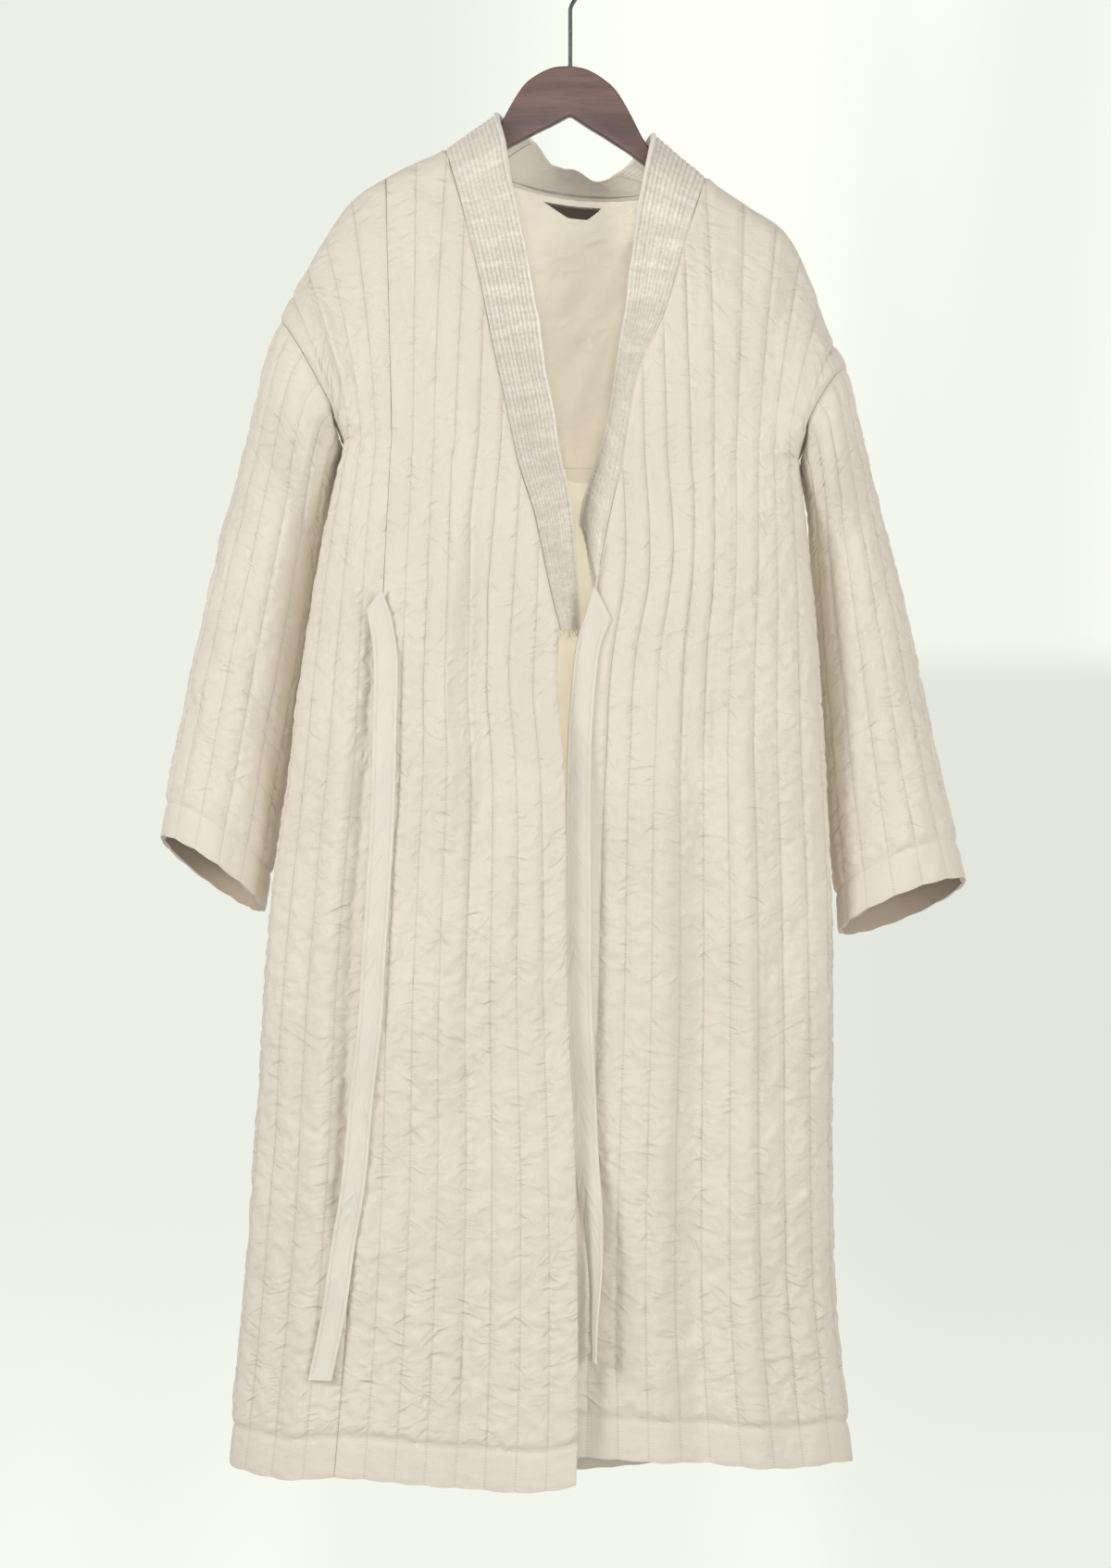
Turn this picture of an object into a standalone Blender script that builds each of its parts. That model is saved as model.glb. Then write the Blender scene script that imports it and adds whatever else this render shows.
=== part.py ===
"""Quilted wrap coat hanging open on a wooden hanger.

The origin is the seat of the hook. +Z is up, -Y is the front of the coat and
+X is the wearer's left. Lengths are millimetres until a mesh is made. A
"drop" is a distance below the top of the hanger wood.
"""
import math
from functools import lru_cache

import bmesh
import bpy
import numpy as np

MM = 0.001
HOOK_RISE = 110.0
GAP = 0.3
WALL = 2.6
PUFF = 4.2
SKIN = 5.5
THIRDS = 3
RIGHT = -1
LEFT = 1

ARM_STEPS = 7
ARM_DROP = 14.0
LAP = 8.0
LAP_CLEAR = 8.0
SEAM_BACK = 10.0
HEM_DEPTH = 35.0
FLAT_BY_SEAM = 16.0
HEM_HALF = 6.0
LOWER_ROWS = 9
FRONT_POWER = 2.9
BACK_POWER = 2.3

SIDE_CHANNELS = 5
CENTRE_CHANNELS = 8
LEFT_CHANNELS = 11
BACK_CHANNELS = 24
SLEEVE_CHANNELS = 14
PANEL_SEAM = 0.40
NECK_RIGHT = PANEL_SEAM + 2 * (1 - PANEL_SEAM) / CENTRE_CHANNELS
NECK_LEFT = 6 / LEFT_CHANNELS
NECK_BACK = 7 / BACK_CHANNELS

COLLAR_WIDTH = 45.0
COLLAR_RIBS = 12
COLLAR_WALL = 2.0
COLLAR_RIB = 0.9
TIE_WIDTH = 20.5
TIE_THICK = 1.6
THIN = 1.0
FACING_ROWS = 5
SIDE_BLEND = 4


class Table:
    """Rows of sizes under named columns, read by a smooth curve."""

    def __init__(self, names, rows):
        self.names = names.split()
        self.rows = np.array(rows, float)

    def column(self, name):
        return self.rows[:, self.names.index(name)]

    def at(self, name, key):
        keys = self.rows[:, 0]
        values = self.column(name)
        key = min(max(key, keys[0]), keys[-1])
        slopes = np.gradient(values, keys)
        i = min(max(int(np.searchsorted(keys, key)) - 1, 0), len(keys) - 2)
        span = keys[i + 1] - keys[i]
        t = (key - keys[i]) / span
        return float((2 * t**3 - 3 * t**2 + 1) * values[i]
                     + (t**3 - 2 * t**2 + t) * span * slopes[i]
                     + (3 * t**2 - 2 * t**3) * values[i + 1]
                     + (t**3 - t**2) * span * slopes[i + 1])


# Outline of the body at each drop: side edges, their depth, front and back.
BODY = Table("drop x_right x_left y_side y_front_r y_front_l y_back", [
    (310, -191, 193, -32, -80, -68, 68),
    (400, -211, 203, -32, -83, -70, 72),
    (500, -228, 212, -32, -85, -72, 75),
    (600, -241, 218, -32, -87, -73, 77),
    (700, -254, 223, -30, -88, -74, 79),
    (820, -264, 225, -26, -89, -75, 81),
    (940, -272, 225, -22, -90, -76, 83),
    (1060, -281, 228, -18, -92, -77, 85),
    (1150, -290, 238, -14, -93, -78, 87),
    (1235, -298, 250, -10, -94, -79, 88),
])
EDGE_RIGHT = Table("drop x", [
    (310, -10), (490, -10), (540, -11), (600, -6), (700, -3), (800, -2),
    (940, 4), (1060, 6), (1150, 6), (1220, 4)])
EDGE_LEFT = Table("drop x", [
    (310, 26), (458, 24), (500, 15), (600, 8), (700, 4), (800, 1),
    (940, -5), (1060, -9), (1220, -13)])
HEM_RIGHT = Table("f drop", [
    (0, 1203), (.14, 1201), (.25, 1204), (.42, 1201), (.6, 1205),
    (.75, 1209), (.88, 1211), (.95, 1209), (1, 1205)])
HEM_LEFT = Table("f drop", [
    (0, 1204), (.15, 1196), (.3, 1197), (.5, 1193), (.7, 1189), (1, 1184)])
HEM_BACK = Table("f drop", [
    (0, 1203), (.15, 1214), (.5, 1231), (.85, 1214), (1, 1204)])

# Shoulder ridge from the sleeve seam (0) to the neck point (1), inside face.
RIDGE_RIGHT = Table("s x drop", [
    (0, -248, 226), (.2, -232, 190), (.4, -214, 157), (.575, -188, 119),
    (.75, -154, 96), (1, -106, 74)])
RIDGE_LEFT = Table("s x drop", [
    (0, 237, 273), (.2, 221, 236), (.4, 206, 188), (.62, 183, 144),
    (.8, 154, 124), (1, 115, 98)])
ARMHOLE = {RIGHT: dict(drop=330.0, tilt=0.18, tilt_back=0.14, front=50.0, back=50.0),
           LEFT: dict(drop=345.0, tilt=0.42, tilt_back=0.12, front=48.0, back=50.0)}

# Collar seam on each front, and the band's apparent width beside it.
NECK_LINE_RIGHT = Table("drop x show", [
    (74, -106, 45), (120, -94, 45), (189, -78, 43), (256, -65, 40),
    (306, -54, 38), (350, -45, 35), (396, -31, 30), (430, -24, 26),
    (463, -17, 21), (491, -10, 15)])
NECK_LINE_LEFT = Table("drop x show", [
    (98, 115, 45), (142, 102, 44), (187, 90, 38), (232, 76, 28),
    (258, 63, 19), (304, 51, 15), (332, 47, 17), (361, 42, 21),
    (385, 36, 22), (409, 32, 24), (436, 30, 22), (459, 24, 14)])
BACK_NECK_DIP = 20.0
BACK_NECK_OUT = 34.0
BACK_STAND = 30.0
BACK_LEAN = 27.0
RIDGE_LIFT = {"right": 32.0, "left": 38.0}
RIDGE_FORWARD = 12.0

# Soft folds: place across the panel, half width, height out, drops it spans.
FOLDS = {
    "right": Table("f wide out top end", [
        (.30, .045, 5, 420, 1500), (.36, .03, -6, 380, 1050),
        (.62, .05, 4, 260, 800), (.74, .05, -4, 330, 1500),
        (.97, .05, -3, 520, 960)]),
    "left": Table("f wide out top end", [
        (.40, .05, 5, 500, 1500), (.57, .06, -8, 560, 1500),
        (.70, .06, 4, 420, 1500), (.90, .05, -5, 470, 1250)]),
    "back": Table("f wide out top end", [
        (.16, .03, -6, 420, 1500), (.33, .05, 7, 520, 1500),
        (.50, .05, -7, 450, 1500), (.67, .05, 7, 560, 1500),
        (.85, .03, -6, 430, 1500)]),
}

SLEEVE_EDGE = {
    RIGHT: Table("w x drop", [
        (0, -248, 226), (.08, -260, 262), (.2, -274, 318), (.36, -294, 388),
        (.55, -315, 480), (.75, -333, 570), (1, -350, 664)]),
    LEFT: Table("w x drop", [
        (0, 237, 273), (.08, 243, 306), (.2, 257, 356), (.36, 275, 420),
        (.55, 294, 504), (.75, 313, 598), (1, 338, 701)])}
CUFF_INSIDE = {RIGHT: (-266, 722), LEFT: (234, 741)}
CUFF_TILT = 0.31
CUFF_HALF_DEPTH = 50.0
SLEEVE_DEPTH = Table("w y", [(0, -10), (.25, 12), (.6, 10), (1, -6)])
CUFF_LIFT = 4.5
SLEEVE_ROWS = (0, .04, .14, .27, .41, .55, .69, .82)

TIE_RIGHT = Table("drop x turn", [
    (470, -161, 0), (503, -156, 0), (576, -156, 0), (651, -158, 0),
    (725, -162, 0), (777, -166, 0), (815, -168, 0), (893, -176, 0),
    (962, -183, 0), (1009, -191, 0), (1055, -197, 4), (1118, -210, 10)])
TIE_LEFT = Table("drop x turn", [
    (466, 24, 0), (501, 15, 0), (535, 11, 0), (576, 8, 0), (626, 6, 0),
    (700, 7, 0), (777, 7, 0), (816, 8, 0), (870, 11, 0), (940, 14, 8),
    (986, 19, 36), (1033, 21, 62), (1079, 20, 78), (1102, 20, 80)])
TIE_ROWS = 26
TIE_OFF = 1.2

# Half of the hanger, level, before it leans: outward, top and under edges.
HANGER = Table("out top under", [
    (0, 0, 43), (15, 2.4, 52), (28, 9, 59), (40, 19, 66), (52, 38, 73),
    (62, 57, 80), (80, 80, 96), (110, 105, 118), (150, 130, 142),
    (176, 147, 158)])
HANGER_LEAN = math.radians(3.7)
HANGER_HALF_THICK = 5.5
HANGER_ROUND = 3.4
WIRE = 3.6
HOOK_INSIDE = 19.0
SHANK_TOP = -62.0
LABEL_SIZE = (48.0, 13.0)
LABEL_POINT = 9.0


def ease(t):
    t = min(max(t, 0.0), 1.0)
    return t * t * (3 - 2 * t)


def unit(v):
    return v / np.maximum(np.linalg.norm(v, axis=-1, keepdims=True), 1e-9)


def quarter(x_end, y_end, x_mid, y_mid, power):
    """Quarter of a rounded box, from its side (x_end, y_end) to its middle."""
    t = np.linspace(0, math.pi / 2, 61)
    x = x_mid + (x_end - x_mid) * np.abs(np.cos(t)) ** (2 / power)
    y = y_end + (y_mid - y_end) * np.abs(np.sin(t)) ** (2 / power)
    return np.stack([x, y], 1)


def lengths(points):
    steps = np.linalg.norm(np.diff(points, axis=0), axis=1)
    return np.concatenate([[0.0], np.cumsum(steps)])


def split_at(points, distance):
    along = lengths(points)
    cut = np.array([np.interp(distance, along, points[:, k]) for k in (0, 1)])
    keep = along < distance
    return np.vstack([points[keep], cut]), np.vstack([cut, points[~keep]])


@lru_cache(maxsize=None)
def section(panel, drop):
    """Plan curve of one panel at one drop, with its length fractions."""
    xr = BODY.at("x_right", drop) + SKIN
    xl = BODY.at("x_left", drop) - SKIN
    ys = BODY.at("y_side", drop)
    yb = BODY.at("y_back", drop) - SKIN
    mid = (xr + xl) / 2
    rear_r = split_at(quarter(xr, ys, mid, yb, BACK_POWER), SEAM_BACK)
    rear_l = split_at(quarter(xl, ys, mid, yb, BACK_POWER), SEAM_BACK)
    if panel == "back":
        points = np.vstack([rear_r[1], rear_l[1][::-1][1:]])
    else:
        right = panel == "right"
        edge = (EDGE_RIGHT if right else EDGE_LEFT).at("x", drop)
        yf = BODY.at("y_front_r" if right else "y_front_l", drop) + SKIN
        front = quarter(xr if right else xl, ys, edge, yf, FRONT_POWER)
        rear = (rear_r if right else rear_l)[0]
        points = np.vstack([rear[::-1], front[1:]])
    along = lengths(points)
    return along / along[-1], points


def on_section(panel, f, drop):
    frac, points = section(panel, round(drop, 1))
    return np.array([np.interp(f, frac, points[:, k]) for k in (0, 1)])


def fold_out(panel, f, drop):
    total = 0.0
    for row in FOLDS[panel].rows:
        f0, wide, out, top, end = row
        fade = ease((drop - top) / 180) * (1 - ease((drop - end + 160) / 160))
        total += out * fade * math.exp(-((f - f0) / wide) ** 2)
    return total


def facing(panel):
    return 1.0 if panel == "back" else -1.0


def arm_drop(panel, f):
    if panel == "back":
        return ARMHOLE[RIGHT]["drop"] * (1 - f) + ARMHOLE[LEFT]["drop"] * f
    return ARMHOLE[RIGHT if panel == "right" else LEFT]["drop"]


def hem_drop(panel, f):
    table = {"right": HEM_RIGHT, "left": HEM_LEFT, "back": HEM_BACK}[panel]
    return table.at("drop", f)


def lower(panel, f, drop):
    x, y = on_section(panel, f, drop)
    y += facing(panel) * fold_out(panel, f, drop)
    return np.array([x, y, drop])


@lru_cache(maxsize=None)
def armhole(side):
    """Centre, long half axis and the two depth axes of the sleeve seam."""
    table = RIDGE_RIGHT if side == RIGHT else RIDGE_LEFT
    top = np.array([table.at("x", 0), 2.0, table.at("drop", 0)])
    foot = lower("right" if side == RIGHT else "left", 0.0, ARMHOLE[side]["drop"])
    size = ARMHOLE[side]
    fore = np.array([0, -1, -size["tilt"]]) * size["front"]
    aft = np.array([0, 1, size["tilt_back"]]) * size["back"]
    return (top + foot) / 2, (top - foot) / 2, fore, aft


def armhole_point(side, angle):
    centre, half, fore, aft = armhole(side)
    deep = fore if angle <= math.pi else -aft
    return centre + half * math.cos(angle) + deep * math.sin(angle)


def armhole_normal(side, angle):
    """Way out of the cloth on the sleeve seam, shared by body and sleeve."""
    return unit(armhole_point(side, angle) - armhole(side)[0])


def under_share(angle):
    """0 on the upper half of the sleeve seam, 1 at its foot."""
    return ease((-math.cos(angle) - 0.5) / 0.4)


def ridge(panel, f):
    """Top of a column: on the shoulder, or over the open neck."""
    if panel == "back":
        if f <= NECK_BACK:
            s = f / NECK_BACK
            return np.array([RIDGE_RIGHT.at("x", s), 0, RIDGE_RIGHT.at("drop", s)])
        if f >= 1 - NECK_BACK:
            s = (1 - f) / NECK_BACK
            return np.array([RIDGE_LEFT.at("x", s), 0, RIDGE_LEFT.at("drop", s)])
        t = (f - NECK_BACK) / (1 - 2 * NECK_BACK)
        a = ridge("back", NECK_BACK)
        b = ridge("back", 1 - NECK_BACK)
        round_neck = math.sin(math.pi * t) ** 0.8
        return (a * (1 - t) + b * t
                + np.array([0, BACK_NECK_OUT, BACK_NECK_DIP]) * round_neck)
    table = RIDGE_RIGHT if panel == "right" else RIDGE_LEFT
    neck = NECK_RIGHT if panel == "right" else NECK_LEFT
    if f <= neck:
        s = f / neck
        return np.array([table.at("x", s), 0, table.at("drop", s)])
    t = (f - neck) / (1 - neck)
    x_edge = (EDGE_RIGHT if panel == "right" else EDGE_LEFT).at("x", 310)
    x = table.at("x", 1) * (1 - t) + x_edge * t
    return np.array([x, -14 * ease(2 * t), table.at("drop", 1) - 30 * t])


def hang(panel, f, v):
    """Upper column from the ridge (v = 0) to the armhole foot (v = 1)."""
    top = ridge(panel, f)
    foot = lower(panel, f, arm_drop(panel, f))
    out = 0.35 * math.sqrt(max(0, 1 - (1 - v) ** 2)) + 0.65 * math.sin(v * math.pi / 2)
    across = 0.6 * math.sin(v * math.pi / 2) + 0.4 * v
    return np.array([top[0] + (foot[0] - top[0]) * across,
                     top[1] + (foot[1] - top[1]) * out,
                     top[2] + (foot[2] - top[2]) * v])


def upper(panel, f, v):
    point = hang(panel, f, v)
    if panel != "left":
        angle = -math.pi * v if panel == "back" else math.pi * v
        edge = armhole_point(RIGHT, angle % (2 * math.pi))
        near = math.exp(-(f / (.10 if panel == "back" else .16)) ** 2)
        point = point + near * (edge - hang(panel, 0.0, v))
    if panel != "right":
        angle = -math.pi * v if panel == "back" else math.pi * v
        edge = armhole_point(LEFT, angle % (2 * math.pi))
        g = 1 - f if panel == "back" else f
        f_edge = 1.0 if panel == "back" else 0.0
        near = math.exp(-(g / (.10 if panel == "back" else .16)) ** 2)
        point = point + near * (edge - hang(panel, f_edge, v))
    return point


def drape(panel, f, run):
    """Point on the inside of a panel, run millimetres down its column."""
    top = ridge(panel, f)[2]
    foot = arm_drop(panel, f)
    if run < foot - top:
        return upper(panel, f, run / (foot - top))
    return lower(panel, f, run + top)


def neck_run(panel, f):
    """Where a column meets the collar seam."""
    if panel == "back":
        return 0.0
    line = NECK_LINE_RIGHT if panel == "right" else NECK_LINE_LEFT
    sign = -1 if panel == "right" else 1
    if f <= (NECK_RIGHT if panel == "right" else NECK_LEFT) + 1e-6:
        return 0.0
    low, high = 0.0, line.rows[-1, 0] - ridge(panel, f)[2]
    for _ in range(40):
        mid = (low + high) / 2
        x, _, drop = drape(panel, f, mid)
        inside = sign * x > sign * line.at("x", drop)
        low, high = (low, mid) if inside else (mid, high)
    return high


def row_runs(panel, f):
    """Row places down a column, and the share of padding at each."""
    top = ridge(panel, f)[2]
    foot = arm_drop(panel, f) - top
    end = hem_drop(panel, f) - top
    hem = end - HEM_DEPTH
    runs = [foot * k / ARM_STEPS for k in range(ARM_STEPS + 1)]
    first = foot + ARM_DROP
    last = hem - HEM_HALF
    runs += [first + (last - first) * k / LOWER_ROWS for k in range(LOWER_ROWS + 1)]
    runs += [hem, hem + HEM_HALF, end]
    puffs = [0.0, .8] + [1.0] * (len(runs) - 5) + [.2, .7, .25]
    start = neck_run(panel, f)
    keep = 0.62 * end
    if start > 0:
        runs = [start + (keep - start) * r / keep if r < keep else r for r in runs]
    return runs, puffs


def channel_lines(panel):
    if panel == "right":
        side = np.linspace(0, PANEL_SEAM, SIDE_CHANNELS + 1)
        return np.concatenate([side, np.linspace(PANEL_SEAM, 1, CENTRE_CHANNELS + 1)[1:]])
    count = LEFT_CHANNELS if panel == "left" else BACK_CHANNELS
    return np.linspace(0, 1, count + 1)


def fine_lines(lines):
    parts = [lines[:-1] + (lines[1:] - lines[:-1]) * k / THIRDS for k in range(THIRDS)]
    return np.concatenate([np.stack(parts, 1).ravel(), lines[-1:]])


def body_grid(panel):
    """Inside points, ways out and wall heights of one panel."""
    fs = fine_lines(channel_lines(panel))
    columns = []
    heights = []
    for j, f in enumerate(fs):
        runs, puffs = row_runs(panel, f)
        crown = math.sin(math.pi * (j % THIRDS) / THIRDS) ** 0.6
        columns.append([drape(panel, f, run) for run in runs])
        heights.append([WALL + PUFF * crown * p for p in puffs])
    grid = np.array(columns).transpose(1, 0, 2)
    for j in range(len(fs)):
        k = j % THIRDS
        if k:
            a = grid[0, j - k]
            b = grid[0, j - k + THIRDS]
            grid[0, j] = a + (b - a) * k / THIRDS
    across = np.gradient(grid, axis=1)
    down = np.gradient(grid, axis=0)
    sign = 1.0 if panel == "right" else -1.0
    normal = sign * unit(np.cross(across, down))
    for j, f in enumerate(fs):
        if on_shoulder(panel, f):
            step = ridge(panel, min(f + .01, 1)) - ridge(panel, max(f - .01, 0))
            up = np.array([step[2], 0, -step[0]])
            normal[0, j] = unit(up if up[2] < 0 else -up)
    for side, j in side_columns(panel):
        for i in range(ARM_STEPS + 1):
            turn = i / ARM_STEPS * math.pi
            low = under_share(turn)
            own = side_normal(side, ARMHOLE[side]["drop"])
            ring = armhole_normal(side, turn if panel != "back" else 2 * math.pi - turn)
            normal[i, j] = unit(ring * (1 - low) + own * low)
        for i in range(ARM_STEPS + 1, len(grid)):
            normal[i, j] = side_normal(side, grid[i, j][2])
        step = 1 if j == 0 else -1
        for i in range(ARM_STEPS // 2, ARM_STEPS + 4):
            for k in range(1, SIDE_BLEND):
                share = k / SIDE_BLEND
                own = normal[i, j + k * step]
                normal[i, j + k * step] = unit(normal[i, j] * (1 - share) + own * share)
    height = np.array(heights).T
    near = seam_distance(panel, grid, fs)
    flat = np.vectorize(ease)(near / FLAT_BY_SEAM)
    return grid, normal, WALL + (height - WALL) * flat


def seam_distance(panel, grid, fs):
    """Distance of every point from the collar seam and the armhole foot."""
    line = [grid[0, j] for j, f in enumerate(fs) if not on_shoulder(panel, f)]
    for side, _ in side_columns(panel):
        turns = np.linspace(.55, 1, 10) * math.pi
        turns = 2 * math.pi - turns if panel == "back" else turns
        line += [armhole_point(side, t) for t in turns]
    line = np.array(line)
    mids = (line[1:] + line[:-1]) / 2
    marks = np.concatenate([line, mids, (line[1:] + mids) / 2, (line[:-1] + mids) / 2])
    return np.linalg.norm(grid[:, :, None] - marks[None, None], axis=3).min(2)


def on_shoulder(panel, f):
    if panel == "back":
        return f < NECK_BACK + 1e-6 or f > 1 - NECK_BACK - 1e-6
    return f < (NECK_RIGHT if panel == "right" else NECK_LEFT) + 1e-6


def side_columns(panel):
    if panel == "back":
        return [(RIGHT, 0), (LEFT, -1)]
    return [(RIGHT if panel == "right" else LEFT, 0)]


def side_normal(side, drop):
    a = on_section("back", .01 if side == RIGHT else .99, drop)
    b = on_section("right" if side == RIGHT else "left", .01, drop)
    step = a - b
    out = np.array([step[1], -step[0], 0.0])
    if out[0] * side < 0:
        out = -out
    return unit(out)


def inset(grid, top, first, last):
    """Pull a panel back from its seams."""
    moved = grid.copy()
    if first:
        moved[:, 0] += GAP / 2 * unit(grid[:, 1] - grid[:, 0])
    if last:
        moved[:, -1] += GAP / 2 * unit(grid[:, -2] - grid[:, -1])
    if top:
        moved[0] += GAP * unit(grid[1] - grid[0])
    return moved


def to_world(p):
    return (p[0] * MM, p[1] * MM, -(p[2] + HOOK_RISE) * MM)


def wall_mesh(name, inner, outer, skip, closed=False):
    """Shell between an outer grid and a plain inner grid with fewer columns.

    Inner column k stands behind outer column k * skip.
    """
    bm = bmesh.new()
    ins = [[bm.verts.new(to_world(p)) for p in row] for row in inner]
    outs = [[bm.verts.new(to_world(p)) for p in row] for row in outer]
    rows = len(inner)
    n_in = len(inner[0])
    n_out = len(outer[0])
    spans_in = n_in if closed else n_in - 1
    spans_out = n_out if closed else n_out - 1
    for i in range(rows - 1):
        for j in range(spans_out):
            k = (j + 1) % n_out
            bm.faces.new((outs[i][j], outs[i][k], outs[i + 1][k], outs[i + 1][j]))
        for j in range(spans_in):
            k = (j + 1) % n_in
            bm.faces.new((ins[i][j], ins[i + 1][j], ins[i + 1][k], ins[i][k]))
        if not closed:
            bm.faces.new((ins[i][0], outs[i][0], outs[i + 1][0], ins[i + 1][0]))
            bm.faces.new((ins[i][-1], ins[i + 1][-1], outs[i + 1][-1], outs[i][-1]))
    for i in (0, rows - 1):
        for j in range(spans_in):
            k = (j + 1) % n_in
            rim = [outs[i][(j * skip + m) % n_out] for m in range(skip + 1)]
            loop = rim + [ins[i][k], ins[i][j]]
            bm.faces.new(loop if i else loop[::-1])
    bmesh.ops.triangulate(bm, faces=bm.faces[:])
    bmesh.ops.recalc_face_normals(bm, faces=bm.faces[:])
    return finish(name, bm)


def finish(name, bm):
    mesh = bpy.data.meshes.new(name)
    bm.to_mesh(mesh)
    bm.free()
    part = bpy.data.objects.new(name, mesh)
    COLLECTION.objects.link(part)
    part.data.materials.append(MATERIALS[name])
    return part


def make_body():
    grids = {p: list(body_grid(p)) for p in ("right", "left", "back")}
    collar = collar_grid(grids)
    outers = {}
    cut = SIDE_CHANNELS * THIRDS
    pieces = [("front_right_side", "right", 0, cut + 1),
              ("front_right", "right", cut, None),
              ("front_left", "left", 0, None), ("back", "back", 0, None)]
    for name, panel, start, stop in pieces:
        grid, normal, height = (a[:, start:stop] for a in grids[panel])
        last = name in ("front_right_side", "back")
        base = inset(grid, True, True, last)
        outer = base + normal * height[..., None]
        wall_mesh(name, base[:, ::THIRDS], outer, THIRDS)
        outers[name] = outer
        if name == "back":
            make_inside(base[:, ::THIRDS], normal[:, ::THIRDS])
    make_collar(collar)
    return outers


def collar_grid(grids):
    """Collar band: seam points, free edge and ways out, front to front."""
    right, left, back = (grids[p] for p in ("right", "left", "back"))
    n_right = (SIDE_CHANNELS + 2) * THIRDS
    n_left = round(NECK_LEFT * LEFT_CHANNELS) * THIRDS
    n_back = round(NECK_BACK * BACK_CHANNELS) * THIRDS
    last = back[0].shape[1] - n_back - 1
    near = 2 * THIRDS
    stops = [("right", j) for j in range(right[0].shape[1] - 1, n_right - 1, -1)
             if j % THIRDS == 0 or j - n_right < near]
    stops += [("back", j) for j in range(n_back + 1, last)
              if j % THIRDS == 0 or min(j - n_back, last - j) < near]
    stops += [("left", j) for j in range(n_left, left[0].shape[1])
              if j % THIRDS == 0 or j - n_left < near]
    seam = np.array([grids[p][0][0, j] for p, j in stops])
    free = []
    for (panel, j), point in zip(stops, seam):
        if panel == "back":
            t = (j - n_back) / (back[0].shape[1] - 1 - 2 * n_back)
            turn = math.pi * t
            lift = RIDGE_LIFT["right"] * (1 - t) + RIDGE_LIFT["left"] * t
            free.append(point + np.array([
                COLLAR_WIDTH * math.cos(turn), BACK_LEAN * math.sin(turn),
                -lift - (BACK_STAND - lift) * math.sin(turn)]))
        else:
            free.append(point + band_offset(panel, point))
    free = np.array(free)
    along = unit(np.gradient((seam + free) / 2, axis=0))
    normal = unit(np.cross(along, free - seam))
    ways = {p: grids[p][1][0] for p in grids}
    for i, (panel, j) in enumerate(stops):
        shared = unit(normal[i] + ways[panel][j])
        if j == {"right": n_right, "left": n_left}.get(panel):
            shared = unit(shared * (1, 0, 1))
            ways["back"][n_back if panel == "right" else last] = shared
        ways[panel][j] = shared
    for panel, start, end in (("right", n_right, right[0].shape[1] - 1), ("back", n_back, last),
                              ("left", n_left, left[0].shape[1] - 1)):
        for j in range(start, end):
            k = j % THIRDS
            ways[panel][j] = unit(ways[panel][j - k] * (THIRDS - k)
                                  + ways[panel][j - k + THIRDS] * k)
    at_seam = np.array([ways[panel][j] for panel, j in stops])
    return seam, free, normal, at_seam


def band_offset(panel, point):
    """From the collar seam to the free edge of the band on a front."""
    line = NECK_LINE_RIGHT if panel == "right" else NECK_LINE_LEFT
    inward = 1 if panel == "right" else -1
    show = line.at("show", point[2])
    step = 12.0
    slope = (line.at("x", point[2] + step) - line.at("x", point[2] - step)) / (2 * step)
    below = point[2] - line.rows[0, 0]
    lift = RIDGE_LIFT[panel] * (1 - ease(below / 70))
    forward = RIDGE_FORWARD * ease(below / 12) * (1 - ease(below / 120))
    width = COLLAR_WIDTH * (1 - 0.28 * ease((point[2] - 380) / 110))
    rise = max(abs(slope) * show, lift)
    back = math.sqrt(max(width**2 - show**2, 0))
    return np.array([inward * show, back - forward, -rise])


def make_collar(parts):
    seam, free, normal, at_seam = parts
    clear = [GAP * (1.2 + 2.5 * ease((d - 330) / 40)) for d in seam[:, 2]]
    base = seam + np.array(clear)[:, None] * unit(free - seam)
    columns = 2 * COLLAR_RIBS
    outer = []
    for c in range(columns + 1):
        t = c / columns
        lead = ease(1 - 4 * t)
        way = unit(normal * (1 - lead) + at_seam * lead)
        tall = COLLAR_WALL + COLLAR_RIB * (c % 2)
        outer.append(base * (1 - t) + free * t + way * tall)
    outer = np.array(outer).transpose(1, 0, 2)
    inner = np.stack([base * (1 - t) + free * t for t in np.linspace(0, 1, 5)], 1)
    wall_mesh("collar", inner, outer, columns // 4)
    half = len(seam) // 2
    span = slice(half - FACING_ROWS, half + FACING_ROWS + 1)
    way = normal[span]
    low = base[span] + 1.5 * unit(free - base)[span]
    high = free[span] - 1.5 * unit(free - base)[span]
    top = np.stack([low, high], 1) - 3 * GAP * way[:, None]
    wall_mesh("collar_facing", top - THIN * way[:, None], top, 1)


def make_inside(base, normal):
    """Yoke facing, lining and label, made from the inside of the back."""
    first = round(NECK_BACK * BACK_CHANNELS)
    hem_row = ARM_STEPS + 1 + LOWER_ROWS
    yoke_rows = list(range(ARM_STEPS + 2))
    points = base[yoke_rows, first:-first].copy()
    ways = normal[yoke_rows, first:-first].copy()
    points[0] += 3.0 * unit(points[1] - points[0])
    ways[0] = ways[1]
    near = points - 2 * GAP * ways
    wall_mesh("back_yoke", near - THIN * ways, near, 1)
    rows = list(range(ARM_STEPS + 1, hem_row + 1))
    points = base[rows].copy()
    ways = normal[rows].copy()
    points[0] += 1.0 * unit(points[1] - points[0])
    for edge, other in ((0, 1), (-1, -2)):
        points[:, edge] += 2.0 * unit(points[:, other] - points[:, edge])
        ways[:, edge] = ways[:, other]
    ways[0] = ways[1]
    near = points - 5 * GAP * ways
    wall_mesh("back_lining", near - THIN * ways, near, 1)
    make_label(base, normal, first)


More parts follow.
